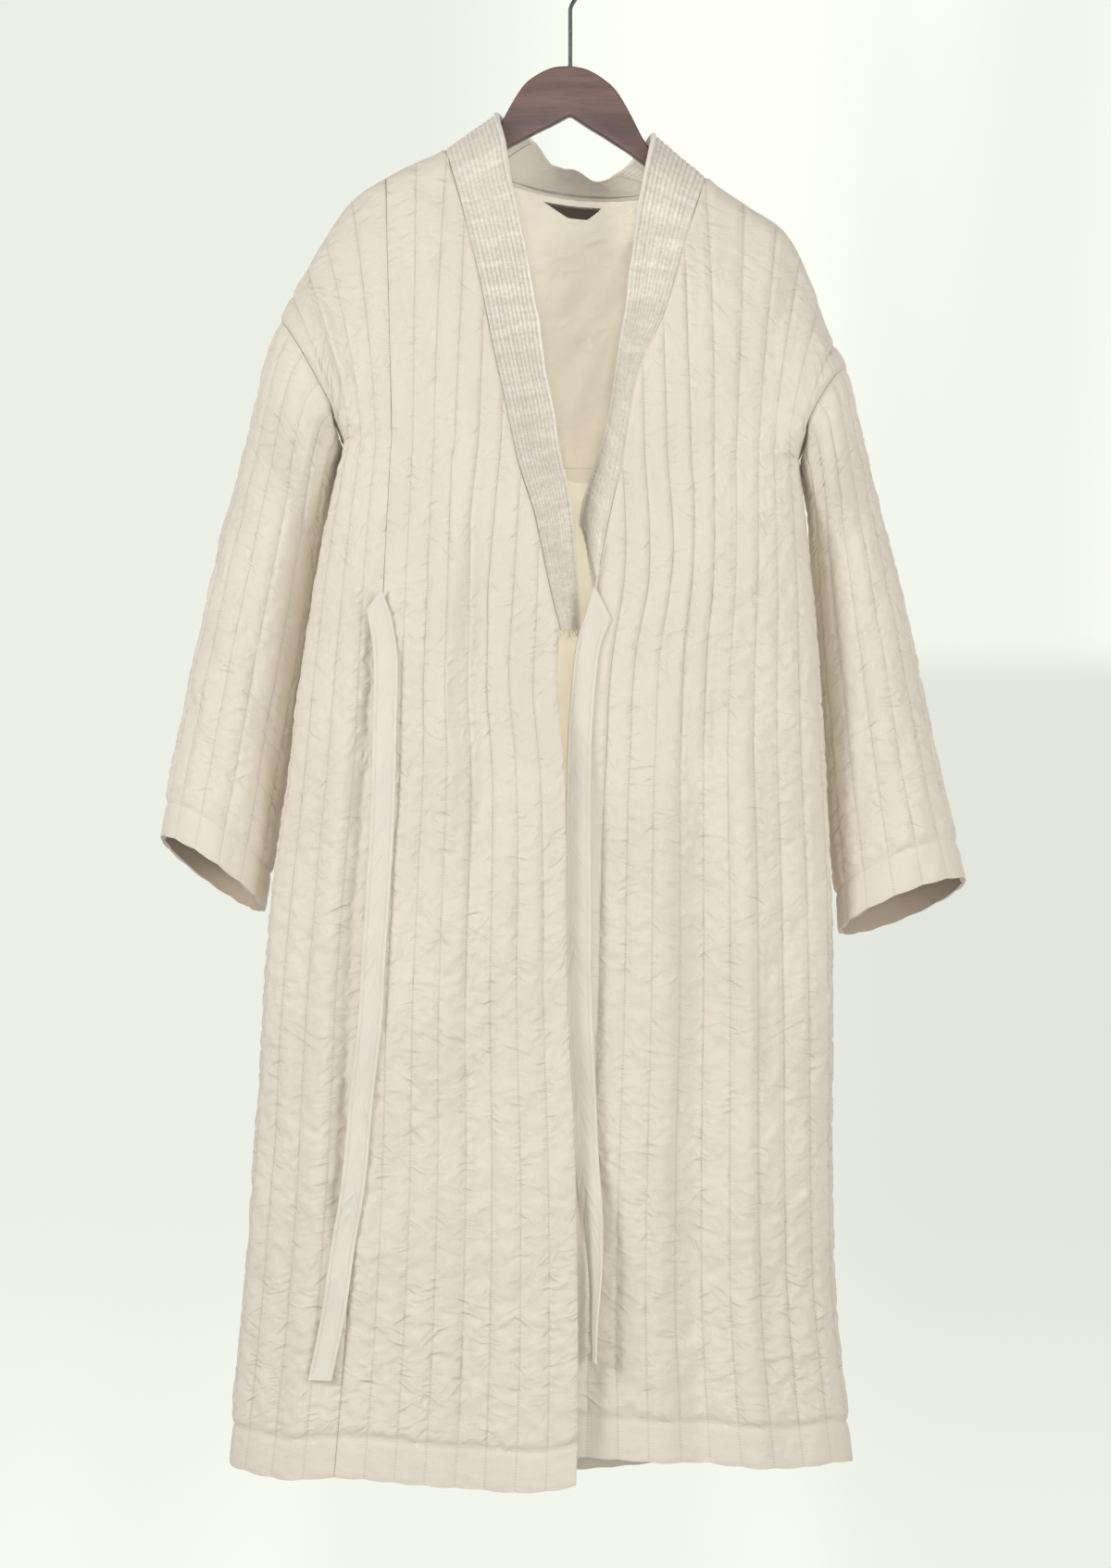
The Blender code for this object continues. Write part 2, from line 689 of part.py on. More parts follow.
def make_label(base, normal, first):
    wide, tall = LABEL_SIZE
    middle = base.shape[1] // 2
    corner = base[0, middle] + 5.0 * unit(base[1, middle] - base[0, middle])
    way = normal[1, middle]
    down = unit(base[1, middle] - base[0, middle])
    right = unit(base[0, middle + 1] - base[0, middle - 1])
    way = unit(np.cross(right, down))
    way = way if way[1] > 0 else -way
    start = corner - (2 * GAP + THIN + 2.2) * way - 4.0 * right
    shape = [(-wide / 2, 0), (wide / 2, 0), (wide / 2 + LABEL_POINT / 3, tall * .55),
             (wide / 2 - LABEL_POINT, tall), (-wide / 2 + LABEL_POINT, tall)]
    bm = bmesh.new()
    flat = [start + right * x + down * y for x, y in shape]
    face = bm.faces.new([bm.verts.new(to_world(p)) for p in flat])
    grown = bmesh.ops.extrude_face_region(bm, geom=[face])
    shift = np.array(to_world(-way * THIN)) - np.array(to_world(way * 0))
    verts = [g for g in grown["geom"] if isinstance(g, bmesh.types.BMVert)]
    bmesh.ops.translate(bm, verts=verts, vec=shift)
    bmesh.ops.recalc_face_normals(bm, faces=bm.faces[:])
    finish("label", bm)


def sleeve_ring(side, w, angle):
    """Inside point of a sleeve, w down its length, angle round from the top."""
    if w <= 0:
        lap = LAP * under_share(angle)
        return armhole_point(side, angle) + np.array([side * lap, 0, 0])
    centre, half, fore, aft = armhole(side)
    top = np.array([SLEEVE_EDGE[side].at("x", w), 0, SLEEVE_EDGE[side].at("drop", w)])
    foot0 = centre - half
    x_in, drop_in = CUFF_INSIDE[side]
    foot = np.array([foot0[0] + (x_in - foot0[0]) * w, 0,
                     foot0[2] + (drop_in - foot0[2]) * w])
    foot[0] += side * (LAP + LAP_CLEAR * (1 - math.exp(-w / .06))) * (1 - w)
    settle = ease(w / .25)
    middle = SLEEVE_DEPTH.at("y", w)
    top[1] = 2.0 * (1 - settle) + middle * settle
    foot[1] = foot0[1] * (1 - settle) + middle * settle
    tilt = ARMHOLE[side]["tilt" if angle <= math.pi else "tilt_back"]
    tilt = tilt * (1 - w) + CUFF_TILT * w
    depth = (fore if angle <= math.pi else aft)[1]
    depth = abs(depth) * (1 - w) + CUFF_HALF_DEPTH * w
    sway = math.sin(angle)
    mid = (top + foot) / 2 + np.array([0, 0, CUFF_LIFT * w])
    return (mid + (top - foot) / 2 * math.cos(angle)
            + np.array([0, -1, -tilt]) * depth * sway)


def make_sleeve(side, name):
    count = SLEEVE_CHANNELS * THIRDS
    length = SLEEVE_EDGE[side].at("drop", 1) - SLEEVE_EDGE[side].at("drop", 0)
    hem = 1 - HEM_DEPTH / length
    half = HEM_HALF / length
    rows = list(SLEEVE_ROWS) + [hem - half, hem, hem + half, 1.0]
    puffs = [0.0, .8] + [1.0] * (len(rows) - 5) + [.2, .7, .25]
    turns = [2 * math.pi * j / count for j in range(count)]
    grid = np.array([[sleeve_ring(side, w, a) for a in turns] for w in rows])
    for j in range(count):
        k = j % THIRDS
        if k:
            a = grid[0, j - k]
            b = grid[0, (j - k + THIRDS) % count]
            grid[0, j] = a + (b - a) * k / THIRDS
    across = np.roll(grid, -1, 1) - np.roll(grid, 1, 1)
    down = np.gradient(grid, axis=0)
    normal = unit(np.cross(across, down))
    out = grid - grid.mean(1, keepdims=True)
    normal *= np.sign((normal * out).sum((1, 2)).mean())
    for j, turn in enumerate(turns):
        low = under_share(turn)
        normal[0, j] = unit(armhole_normal(side, turn) * (1 - low) + normal[0, j] * low)
    centre, long_half, fore, _ = armhole(side)
    away = unit(np.cross(long_half, fore))
    away *= np.sign(away[2])
    grid[0] += GAP * away
    crown = np.array([math.sin(math.pi * (j % THIRDS) / THIRDS) ** 0.6 for j in range(count)])
    flat = np.array([[1 - under_share(a) * (1 - ease(w / .16)) for a in turns] for w in rows])
    height = WALL + PUFF * crown[None, :] * np.array(puffs)[:, None] * flat
    outer = grid + normal * height[..., None]
    wall_mesh(name, grid[:, ::THIRDS], outer, THIRDS, closed=True)


def front_depth(grids, x, drop):
    """Foremost depth of the given outer grids at a place seen from the front."""
    best = None
    for grid in grids:
        a, b = grid[:-1, :-1], grid[:-1, 1:]
        c, d = grid[1:, 1:], grid[1:, :-1]
        for p, q, r in ((a, b, c), (a, c, d)):
            area = ((q[..., 0] - p[..., 0]) * (r[..., 2] - p[..., 2])
                    - (r[..., 0] - p[..., 0]) * (q[..., 2] - p[..., 2]))
            area = np.where(np.abs(area) < 1e-9, 1e-9, area)
            u = ((x - p[..., 0]) * (r[..., 2] - p[..., 2])
                 - (r[..., 0] - p[..., 0]) * (drop - p[..., 2])) / area
            v = ((q[..., 0] - p[..., 0]) * (drop - p[..., 2])
                 - (x - p[..., 0]) * (q[..., 2] - p[..., 2])) / area
            hit = (u >= -1e-6) & (v >= -1e-6) & (u + v <= 1 + 1e-6)
            if hit.any():
                y = p[..., 1] + u * (q[..., 1] - p[..., 1]) + v * (r[..., 1] - p[..., 1])
                low = float(y[hit].min())
                best = low if best is None else min(best, low)
    return best


def make_tie(name, table, grids):
    drops = np.linspace(table.rows[0, 0], table.rows[-1, 0], TIE_ROWS)
    rows = []
    for drop in drops:
        x = table.at("x", drop)
        turn = math.radians(table.at("turn", drop))
        reach = TIE_WIDTH / 2
        seen = [front_depth(grids, x + s * reach * 1.1, drop + e)
                for s in np.linspace(-1, 1, 9) for e in (-30, -15, 0, 15, 30)]
        rows.append((x, min(s for s in seen if s is not None), drop, turn))
    rows = np.array(rows)
    ease_in = np.convolve(np.pad(rows[:, 1], 2, mode="edge"), np.ones(5) / 5, "valid")
    rows[:, 1] = np.minimum(rows[:, 1], ease_in)
    back, front = [], []
    for i, (x, y, drop, turn) in enumerate(rows):
        side = np.array([math.cos(turn), -math.sin(turn), 0])
        way = np.array([-math.sin(turn), -math.cos(turn), 0])
        off = GAP + (TIE_OFF - GAP) * ease((i - 1) / 3)
        mid = np.array([x, y - off - TIE_WIDTH / 2 * abs(math.sin(turn)), drop])
        near = [mid + side * TIE_WIDTH * t for t in (-.5, 0, .5)]
        back.append(near)
        front.append([p + way * TIE_THICK for p in near])
    wall_mesh(name, np.array(back), np.array(front), 1)


def make_hanger():
    upper_edge = [(o, t) for o, t, _ in HANGER.rows]
    under_edge = [(o, u) for o, _, u in HANGER.rows]
    half = upper_edge + under_edge[::-1]
    other = [(-o, d) for o, d in half[::-1] if o > 0]
    bm = bmesh.new()
    verts = []
    for out, drop in half + other:
        x = out * math.cos(HANGER_LEAN) - drop * math.sin(HANGER_LEAN) * 0
        d = drop + out * math.sin(HANGER_LEAN)
        verts.append(bm.verts.new(to_world((x, -HANGER_HALF_THICK, d))))
    face = bm.faces.new(verts)
    grown = bmesh.ops.extrude_face_region(bm, geom=[face])
    moved = [g for g in grown["geom"] if isinstance(g, bmesh.types.BMVert)]
    bmesh.ops.translate(bm, verts=moved, vec=(0, 2 * HANGER_HALF_THICK * MM, 0))
    bmesh.ops.recalc_face_normals(bm, faces=bm.faces[:])
    wood = finish("hanger_wood", bm)
    soft = wood.modifiers.new("rounded", "BEVEL")
    soft.width = HANGER_ROUND * MM
    soft.segments = 2
    soft.limit_method = "ANGLE"
    soft.angle_limit = math.radians(40)


def make_hook():
    radius = HOOK_INSIDE + WIRE / 2
    centre = -HOOK_INSIDE
    turns = np.radians(np.linspace(195, -48, 26))
    path = [(radius * math.cos(t), centre + radius * math.sin(t)) for t in turns]
    x_end, z_end = path[-1]
    for t in np.linspace(0, 1, 7)[1:]:
        path.append((x_end * (1 - ease(t)), z_end + (SHANK_TOP - z_end) * t))
    path.append((0.0, -HOOK_RISE + GAP))
    curve = bpy.data.curves.new("hanger_hook", "CURVE")
    curve.dimensions = "3D"
    spline = curve.splines.new("POLY")
    spline.points.add(len(path) - 1)
    for point, (x, z) in zip(spline.points, path):
        point.co = (x * MM, 0, z * MM, 1)
    curve.bevel_depth = WIRE / 2 * MM
    curve.bevel_resolution = 2
    curve.use_fill_caps = True
    hook = bpy.data.objects.new("hanger_hook", curve)
    COLLECTION.objects.link(hook)
    curve.materials.append(MATERIALS["hanger_hook"])


COLOURS = {
    "quilt": (0.72, 0.66, 0.56), "rib": (0.76, 0.74, 0.67),
    "plain": (0.68, 0.61, 0.50), "lining": (0.86, 0.75, 0.54),
    "tie": (0.78, 0.75, 0.67), "label": (0.13, 0.09, 0.08),
    "wood": (0.14, 0.08, 0.065), "wire": (0.09, 0.09, 0.09)}
NODES = {
    "hanger_wood": "wood", "hanger_hook": "wire", "front_right_side": "quilt",
    "front_right": "quilt", "front_left": "quilt", "back": "quilt",
    "sleeve_right": "quilt", "sleeve_left": "quilt", "collar": "rib",
    "collar_facing": "plain", "back_yoke": "plain", "back_lining": "lining",
    "tie_right": "tie", "tie_left": "tie", "label": "label"}


def make_materials():
    made = {}
    for name, colour in COLOURS.items():
        mat = bpy.data.materials.new(name)
        mat.use_nodes = True
        shader = mat.node_tree.nodes["Principled BSDF"]
        shader.inputs["Base Color"].default_value = (*colour, 1)
        shader.inputs["Roughness"].default_value = 0.35 if name in ("wood", "wire") else 0.9
        made[name] = mat
    return {node: made[look] for node, look in NODES.items()}


for old in list(bpy.data.objects):
    bpy.data.objects.remove(old)
COLLECTION = bpy.data.collections.new("padded_coat")
bpy.context.scene.collection.children.link(COLLECTION)
MATERIALS = make_materials()
OUTER = make_body()
make_sleeve(RIGHT, "sleeve_right")
make_sleeve(LEFT, "sleeve_left")
make_tie("tie_right", TIE_RIGHT, [OUTER["front_right_side"], OUTER["front_right"]])
make_tie("tie_left", TIE_LEFT, [OUTER["front_left"]])
make_hanger()
make_hook()
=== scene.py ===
"""Looks of a quilted wrap coat that hangs open on a wooden hanger.

The file is laid out as an add-on and run as a script. The cloth is worked
out in millimetres as (x, y, drop), where drop is the distance below the top
of the hanger wood, and goes to metres in the row frame when a mesh is made.
-Y is the front of the coat and +X the wearer's left.
"""
import math
from bisect import bisect_right
from functools import lru_cache

import bmesh
import bpy
import numpy as np
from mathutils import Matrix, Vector, noise
from mathutils.bvhtree import BVHTree


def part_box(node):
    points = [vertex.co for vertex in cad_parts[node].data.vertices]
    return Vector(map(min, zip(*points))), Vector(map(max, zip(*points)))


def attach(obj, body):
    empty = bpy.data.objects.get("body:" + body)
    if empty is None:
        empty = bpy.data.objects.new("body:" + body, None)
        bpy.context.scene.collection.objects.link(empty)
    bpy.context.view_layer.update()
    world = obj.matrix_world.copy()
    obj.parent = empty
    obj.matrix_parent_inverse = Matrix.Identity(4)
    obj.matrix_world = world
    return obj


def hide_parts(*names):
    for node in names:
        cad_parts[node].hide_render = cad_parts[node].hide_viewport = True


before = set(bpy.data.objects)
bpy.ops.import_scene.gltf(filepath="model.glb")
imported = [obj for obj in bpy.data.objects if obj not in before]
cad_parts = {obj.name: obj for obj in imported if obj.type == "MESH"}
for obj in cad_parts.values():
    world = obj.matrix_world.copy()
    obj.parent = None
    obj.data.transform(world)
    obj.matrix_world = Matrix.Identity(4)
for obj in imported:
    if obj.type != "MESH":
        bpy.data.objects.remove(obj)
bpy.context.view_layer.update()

bl_info = {
    "name": "Quilted coat on a hanger",
    "version": (1, 0, 0),
    "blender": (4, 5, 0),
    "location": "View3D > Sidebar > Coat",
    "description": "Dresses the coat's solids with quilted cloth, ribbing, stitches and wood",
    "category": "Object",
}

MM = 0.001
HOOK_RISE = 110.0
GAP = 0.3
WALL = 2.6
SKIN = 5.5
THIRDS = 3
RIGHT = -1
LEFT = 1

LAP = 8.0
LAP_CLEAR = 8.0
SEAM_BACK = 10.0
HEM_DEPTH = 35.0
FRONT_POWER = 2.9
BACK_POWER = 2.3

SIDE_CHANNELS = 5
CENTRE_CHANNELS = 8
LEFT_CHANNELS = 11
BACK_CHANNELS = 24
SLEEVE_CHANNELS = 14
PANEL_SEAM = 0.40
NECK_RIGHT = PANEL_SEAM + 2 * (1 - PANEL_SEAM) / CENTRE_CHANNELS
NECK_LEFT = 6 / LEFT_CHANNELS
NECK_BACK = 7 / BACK_CHANNELS

COLLAR_WIDTH = 45.0
COLLAR_RIBS = 12
TIE_WIDTH = 20.5
TIE_THICK = 1.6

# Rows and columns of the worked-out surface, and how finely a mesh reads it.
ARM_ROWS = 18
LOW_ROWS = 52
HEM_ROWS = 4
FINE_ARM = 84
FINE_LOW = 280
FINE_HEM = 12
FINE_CHANNEL = 8
PLAIN_STEP = 4
SLEEVE_LONG_ROWS = 30
FINE_SLEEVE = 148
SIDE_BLEND = 4
NECK_EASE = 0.62
FULL_CHANNEL = 20.0
FLAT_SHARE = 0.3
SEAM_DIP = 4.0
HEM_DIP = 4.0
HEM_FLAT = 0.35
HEM_SPARE = 0.3
SCALLOP = 1.0
SCALLOP_UP = 12.0
INNER_LOFT = 2.2
HEM_TUCK = 1.15
TUCK_WIDE = 2.4
RIM_ANGLE = 55.0
LEAST_WALL = 1.2
THREAD_OVER = 0.22
COLLAR_FINE = 5
RIB_FINE = 8
RIB_LOW = 2.0
RIB_HIGH = 2.95
RIB_WELT = 1.7
END_ROWS = 40
END_SLANT = 26.0
RIB_WANDER = 0.016
EDGE_LOOSE = 2.0
FACING_HALF = 12
THIN = 1.0
YOKE_PAST = 5
YOKE_FOLD_ROWS = 3
TIE_FINE = 180
TIE_STIFF = 12.0
TIE_POINT = 14.0
TIE_SECTION = ((-.5, .3), (-.48, .85), (-.40, .8), (-.34, .7), (-.2, .95), (-.05, 1), (.1, 1),
               (.22, .95), (.34, .7), (.40, .8), (.48, .85), (.5, .3))
SENSOR = 36.0
STRAIGHT = 0.6
SMOOTH_TO = 230.0
PUCKERED_FROM = 500.0
SMOOTH_SPARE = 0.28


class Table:
    """Rows of sizes under named columns, read by a smooth curve."""

    def __init__(self, names, rows):
        self.rows = rows
        self.keys = [row[0] for row in rows]
        sizes = np.array(rows, float)
        self.values = {}
        for i, name in enumerate(names.split()):
            slopes = np.gradient(sizes[:, i], sizes[:, 0])
            self.values[name] = (sizes[:, i].tolist(), slopes.tolist())

    def at(self, name, key):
        keys = self.keys
        values, slopes = self.values[name]
        key = min(max(key, keys[0]), keys[-1])
        i = min(max(bisect_right(keys, key) - 1, 0), len(keys) - 2)
        span = keys[i + 1] - keys[i]
        t = (key - keys[i]) / span
        return ((2 * t**3 - 3 * t**2 + 1) * values[i]
                + (t**3 - 2 * t**2 + t) * span * slopes[i]
                + (3 * t**2 - 2 * t**3) * values[i + 1]
                + (t**3 - t**2) * span * slopes[i + 1])


# Outline of the body at each drop: side edges, their depth, front and back.
BODY = Table("drop x_right x_left y_side y_front_r y_front_l y_back", [
    (310, -191, 193, -32, -80, -68, 68),
    (400, -211, 203, -32, -83, -70, 72),
    (500, -228, 212, -32, -85, -72, 75),
    (600, -241, 218, -32, -87, -73, 77),
    (700, -254, 223, -30, -88, -74, 79),
    (820, -264, 225, -26, -89, -75, 81),
    (940, -272, 225, -22, -90, -76, 83),
    (1060, -281, 228, -18, -92, -77, 85),
    (1150, -290, 238, -14, -93, -78, 87),
    (1235, -298, 250, -10, -94, -79, 88),
])
EDGE_RIGHT = Table("drop x", [
    (310, -10), (490, -10), (540, -11), (600, -6), (700, -3), (800, -2),
    (940, 4), (1060, 6), (1150, 6), (1220, 4)])
EDGE_LEFT = Table("drop x", [
    (310, 26), (458, 24), (500, 15), (600, 8), (700, 4), (800, 1),
    (940, -5), (1060, -9), (1220, -13)])
HEM_RIGHT = Table("f drop", [
    (0, 1203), (.14, 1201), (.25, 1204), (.42, 1201), (.6, 1205),
    (.75, 1209), (.88, 1211), (.95, 1209), (1, 1205)])
HEM_LEFT = Table("f drop", [
    (0, 1204), (.15, 1196), (.3, 1197), (.5, 1193), (.7, 1189), (1, 1184)])
HEM_BACK = Table("f drop", [
    (0, 1203), (.15, 1214), (.5, 1231), (.85, 1214), (1, 1204)])

# Shoulder ridge from the sleeve seam (0) to the neck point (1), inside face.
RIDGE_RIGHT = Table("s x drop", [
    (0, -248, 226), (.2, -232, 190), (.4, -214, 157), (.575, -188, 119),
    (.75, -154, 96), (1, -106, 74)])
RIDGE_LEFT = Table("s x drop", [
    (0, 237, 273), (.2, 221, 236), (.4, 206, 188), (.62, 183, 144),
    (.8, 154, 124), (1, 115, 98)])
ARMHOLE = {RIGHT: dict(drop=330.0, tilt=0.18, tilt_back=0.14, front=50.0, back=50.0),
           LEFT: dict(drop=345.0, tilt=0.42, tilt_back=0.12, front=48.0, back=50.0)}

# Collar seam on each front, and the band's apparent width beside it.
NECK_LINE_RIGHT = Table("drop x show", [
    (74, -106, 45), (120, -94, 45), (189, -78, 43), (256, -65, 40),
    (306, -54, 38), (350, -45, 35), (396, -31, 30), (430, -24, 26),
    (463, -17, 21), (491, -10, 15)])
NECK_LINE_LEFT = Table("drop x show", [
    (98, 115, 45), (142, 102, 44), (187, 90, 38), (232, 76, 28),
    (258, 63, 19), (304, 51, 15), (332, 47, 17), (361, 42, 21),
    (385, 36, 22), (409, 32, 24), (436, 30, 22), (459, 24, 14)])
BACK_NECK_DIP = 20.0
BACK_NECK_OUT = 34.0
BACK_STAND = 30.0
BACK_LEAN = 27.0
RIDGE_LIFT = {"right": 32.0, "left": 38.0}
RIDGE_FORWARD = 12.0

# Soft folds: place across the panel, half width, height out, drops it spans.
FOLDS = {
    "right": Table("f wide out top end", [
        (.30, .045, 5, 420, 1500), (.36, .03, -6, 380, 1050),
        (.62, .05, 4, 260, 800), (.74, .05, -4, 330, 1500),
        (.97, .05, -3, 520, 960)]),
    "left": Table("f wide out top end", [
        (.40, .05, 5, 500, 1500), (.57, .06, -8, 560, 1500),
        (.70, .06, 4, 420, 1500), (.90, .05, -5, 470, 1250)]),
    "back": Table("f wide out top end", [
        (.16, .03, -6, 420, 1500), (.33, .05, 7, 520, 1500),
        (.50, .05, -7, 450, 1500), (.67, .05, 7, 560, 1500),
        (.85, .03, -6, 430, 1500)]),
}

SLEEVE_EDGE = {
    RIGHT: Table("w x drop", [
        (0, -248, 226), (.08, -260, 262), (.2, -274, 318), (.36, -294, 388),
        (.55, -315, 480), (.75, -333, 570), (1, -350, 664)]),
    LEFT: Table("w x drop", [
        (0, 237, 273), (.08, 243, 306), (.2, 257, 356), (.36, 275, 420),
        (.55, 294, 504), (.75, 313, 598), (1, 338, 701)])}
CUFF_INSIDE = {RIGHT: (-266, 722), LEFT: (234, 741)}
CUFF_TILT = 0.31
CUFF_HALF_DEPTH = 50.0
SLEEVE_DEPTH = Table("w y", [(0, -10), (.25, 12), (.6, 10), (1, -6)])
CUFF_LIFT = 4.5

TIE_RIGHT = Table("drop x turn", [
    (470, -161, 0), (503, -156, 0), (576, -156, 0), (651, -158, 0),
    (725, -162, 0), (777, -166, 0), (815, -168, 0), (893, -176, 0),
    (962, -183, 0), (1009, -191, 0), (1055, -197, 4), (1118, -210, 10)])
TIE_LEFT = Table("drop x turn", [
    (466, 24, 0), (501, 15, 0), (535, 11, 0), (576, 8, 0), (626, 6, 0),
    (700, 7, 0), (777, 7, 0), (816, 8, 0), (870, 11, 0), (940, 14, 8),
    (986, 19, 36), (1033, 21, 62), (1079, 20, 78), (1102, 20, 80)])

# Half of the hanger, level, before it leans: outward, top and under edges.
HANGER = Table("out top under", [
    (0, 0, 43), (15, 2.4, 52), (28, 9, 59), (40, 19, 66), (52, 38, 73),
    (62, 57, 80), (80, 80, 96), (110, 105, 118), (150, 130, 142),
    (176, 147, 158)])
HANGER_LEAN = math.radians(3.7)
HANGER_HALF_THICK = 5.5
HANGER_ROUND = 3.4
WIRE = 3.6
HOOK_INSIDE = 19.0
SHANK_TOP = -62.0
LABEL_TALL = 10.4
LABEL_LEFT = -23.6
LABEL_WIDE = 50.5
LABEL_DOWN = 5.5
LABEL_CUT = (22.0, 12.0)
NECK_SAG = Table("x down", [
    (-60, 0), (-36, 0), (-26, 3), (-18, 8), (-8, 5), (6, 1), (16, 7), (26, 14), (36, 14),
    (46, 11), (56, 7), (66, 0)])

# Listed creases: place across, drop, half length, half width, lean, height.
CREASES = {
    "front_right_side": (
        (-186, 170, 60, 8, 8, -2.2), (-176, 260, 50, 7, -10, -1.6), (-203, 210, 40, 6, 20, -1.6),
        (-178, 640, 150, 8, 2, -1.3), (-187, 860, 130, 8, 4, -1.2), (-222, 700, 160, 12, 5, -1.4),
        (-240, 960, 140, 13, 5, -1.6), (-206, 1060, 110, 12, 4, -1.2)),
    "front_right": (
        (-138, 200, 110, 7, 2, -1.8), (-118, 260, 120, 8, 3, -1.5), (-96, 330, 90, 7, 6, -1.3),
        (-120, 620, 150, 12, 2, -1.4), (-84, 820, 190, 14, 1, -1.4), (-40, 700, 140, 10, -2, -1.6),
        (-132, 980, 130, 13, 3, -1.3), (-58, 1050, 120, 14, 0, 1.2)),
    "front_left": (
        (188, 190, 60, 7, -6, -2.2), (176, 270, 60, 7, 6, -1.6), (198, 288, 22, 4, 34, -1.6),
        (190, 306, 24, 4, 40, -1.4), (27, 720, 200, 8, 0, -2.3), (122, 560, 150, 12, 1, -1.8),
        (140, 860, 170, 13, -2, -1.6), (74, 640, 140, 11, 2, -1.2), (92, 980, 150, 13, 0, -1.5),
        (180, 760, 140, 12, -2, -1.6), (48, 1040, 120, 12, 0, 1.3)),
    "back": (
        (-150, 240, 90, 9, -6, -1.8), (140, 250, 90, 9, 6, -1.8), (-60, 520, 190, 14, 1, -1.5),
        (70, 600, 200, 14, -1, -1.6), (-170, 700, 180, 13, 4, -1.5), (150, 820, 170, 13, -3, -1.4),
        (-20, 930, 180, 15, 0, -1.4), (-110, 1010, 150, 14, 2, 1.2)),
    "back_yoke": (
        (10, 138, 30, 3, 84, 1.6), (-20, 150, 40, 5, 70, 1.2), (46, 150, 45, 5, -38, 1.8),
        (30, 190, 60, 6, -30, 1.6), (-34, 220, 60, 6, 12, 1.5), (14, 260, 50, 5, -18, 1.4),
        (-10, 300, 60, 5, 60, 1.2), (40, 300, 40, 5, 30, 1.2), (-90, 200, 70, 7, 20, 1.5),
        (100, 210, 70, 7, -20, 1.5), (-4, 205, 26, 3, 78, -1.4)),
    "back_lining": (
        (-8, 480, 120, 7, 2, 2.4), (12, 560, 160, 8, -2, 2.2), (-60, 620, 200, 10, 3, 2.4),
        (70, 700, 200, 10, -2, 2.4), (0, 800, 180, 9, 1, 2.2), (-120, 820, 200, 12, 3, 2.0),
        (130, 900, 180, 12, -3, 2.0), (20, 1020, 140, 10, 0, 2.0)),
    "sleeve_right": (
        (-276, 420, 110, 9, 10, -1.8), (-262, 560, 120, 9, 9, -1.8), (-294, 640, 110, 9, 12, -1.5),
        (-236, 380, 50, 6, 22, -1.6), (-300, 520, 70, 7, 14, -1.2)),
    "sleeve_left": (
        (262, 470, 110, 9, -10, -1.8), (280, 600, 120, 9, -9, -1.8), (244, 400, 50, 6, -24, -1.6),
        (300, 690, 90, 8, -12, -1.4), (250, 640, 90, 8, -8, -1.5))}


def ease(t):
    t = min(max(t, 0.0), 1.0)
    return t * t * (3 - 2 * t)


def unit(v):
    return v / np.maximum(np.linalg.norm(v, axis=-1, keepdims=True), 1e-9)


def quarter(x_end, y_end, x_mid, y_mid, power):
    """Quarter of a rounded box, from its side (x_end, y_end) to its middle."""
    t = np.linspace(0, math.pi / 2, 61)
    x = x_mid + (x_end - x_mid) * np.abs(np.cos(t)) ** (2 / power)
    y = y_end + (y_mid - y_end) * np.abs(np.sin(t)) ** (2 / power)
    return np.stack([x, y], 1)


def lengths(points):
    steps = np.linalg.norm(np.diff(points, axis=0), axis=1)
    return np.concatenate([[0.0], np.cumsum(steps)])


def split_at(points, distance):
    along = lengths(points)
    cut = np.array([np.interp(distance, along, points[:, k]) for k in (0, 1)])
    keep = along < distance
    return np.vstack([points[keep], cut]), np.vstack([cut, points[~keep]])


@lru_cache(maxsize=None)
def section(panel, drop):
    """Plan curve of one panel at one drop, with its length fractions."""
    xr = BODY.at("x_right", drop) + SKIN
    xl = BODY.at("x_left", drop) - SKIN
    ys = BODY.at("y_side", drop)
    yb = BODY.at("y_back", drop) - SKIN
    mid = (xr + xl) / 2
    rear_r = split_at(quarter(xr, ys, mid, yb, BACK_POWER), SEAM_BACK)
    rear_l = split_at(quarter(xl, ys, mid, yb, BACK_POWER), SEAM_BACK)
    if panel == "back":
        points = np.vstack([rear_r[1], rear_l[1][::-1][1:]])
    else:
        right = panel == "right"
        edge = (EDGE_RIGHT if right else EDGE_LEFT).at("x", drop)
        yf = BODY.at("y_front_r" if right else "y_front_l", drop) + SKIN
        front = quarter(xr if right else xl, ys, edge, yf, FRONT_POWER)
        rear = (rear_r if right else rear_l)[0]
        points = np.vstack([rear[::-1], front[1:]])
    along = lengths(points)
    return along / along[-1], points


def on_section(panel, f, drop):
    frac, points = section(panel, round(drop, 1))
    return np.array([np.interp(f, frac, points[:, k]) for k in (0, 1)])


def fold_out(panel, f, drop):
    total = 0.0
    for f0, wide, out, top, end in FOLDS[panel].rows:
        fade = ease((drop - top) / 180) * (1 - ease((drop - end + 160) / 160))
        total += out * fade * math.exp(-((f - f0) / wide) ** 2)
    return total


def facing(panel):
    return 1.0 if panel == "back" else -1.0


def arm_drop(panel, f):
    if panel == "back":
        return ARMHOLE[RIGHT]["drop"] * (1 - f) + ARMHOLE[LEFT]["drop"] * f
    return ARMHOLE[RIGHT if panel == "right" else LEFT]["drop"]


def hem_drop(panel, f):
    table = {"right": HEM_RIGHT, "left": HEM_LEFT, "back": HEM_BACK}[panel]
    return table.at("drop", f)


def lower(panel, f, drop):
    x, y = on_section(panel, f, drop)
    y += facing(panel) * fold_out(panel, f, drop)
    return np.array([x, y, drop])


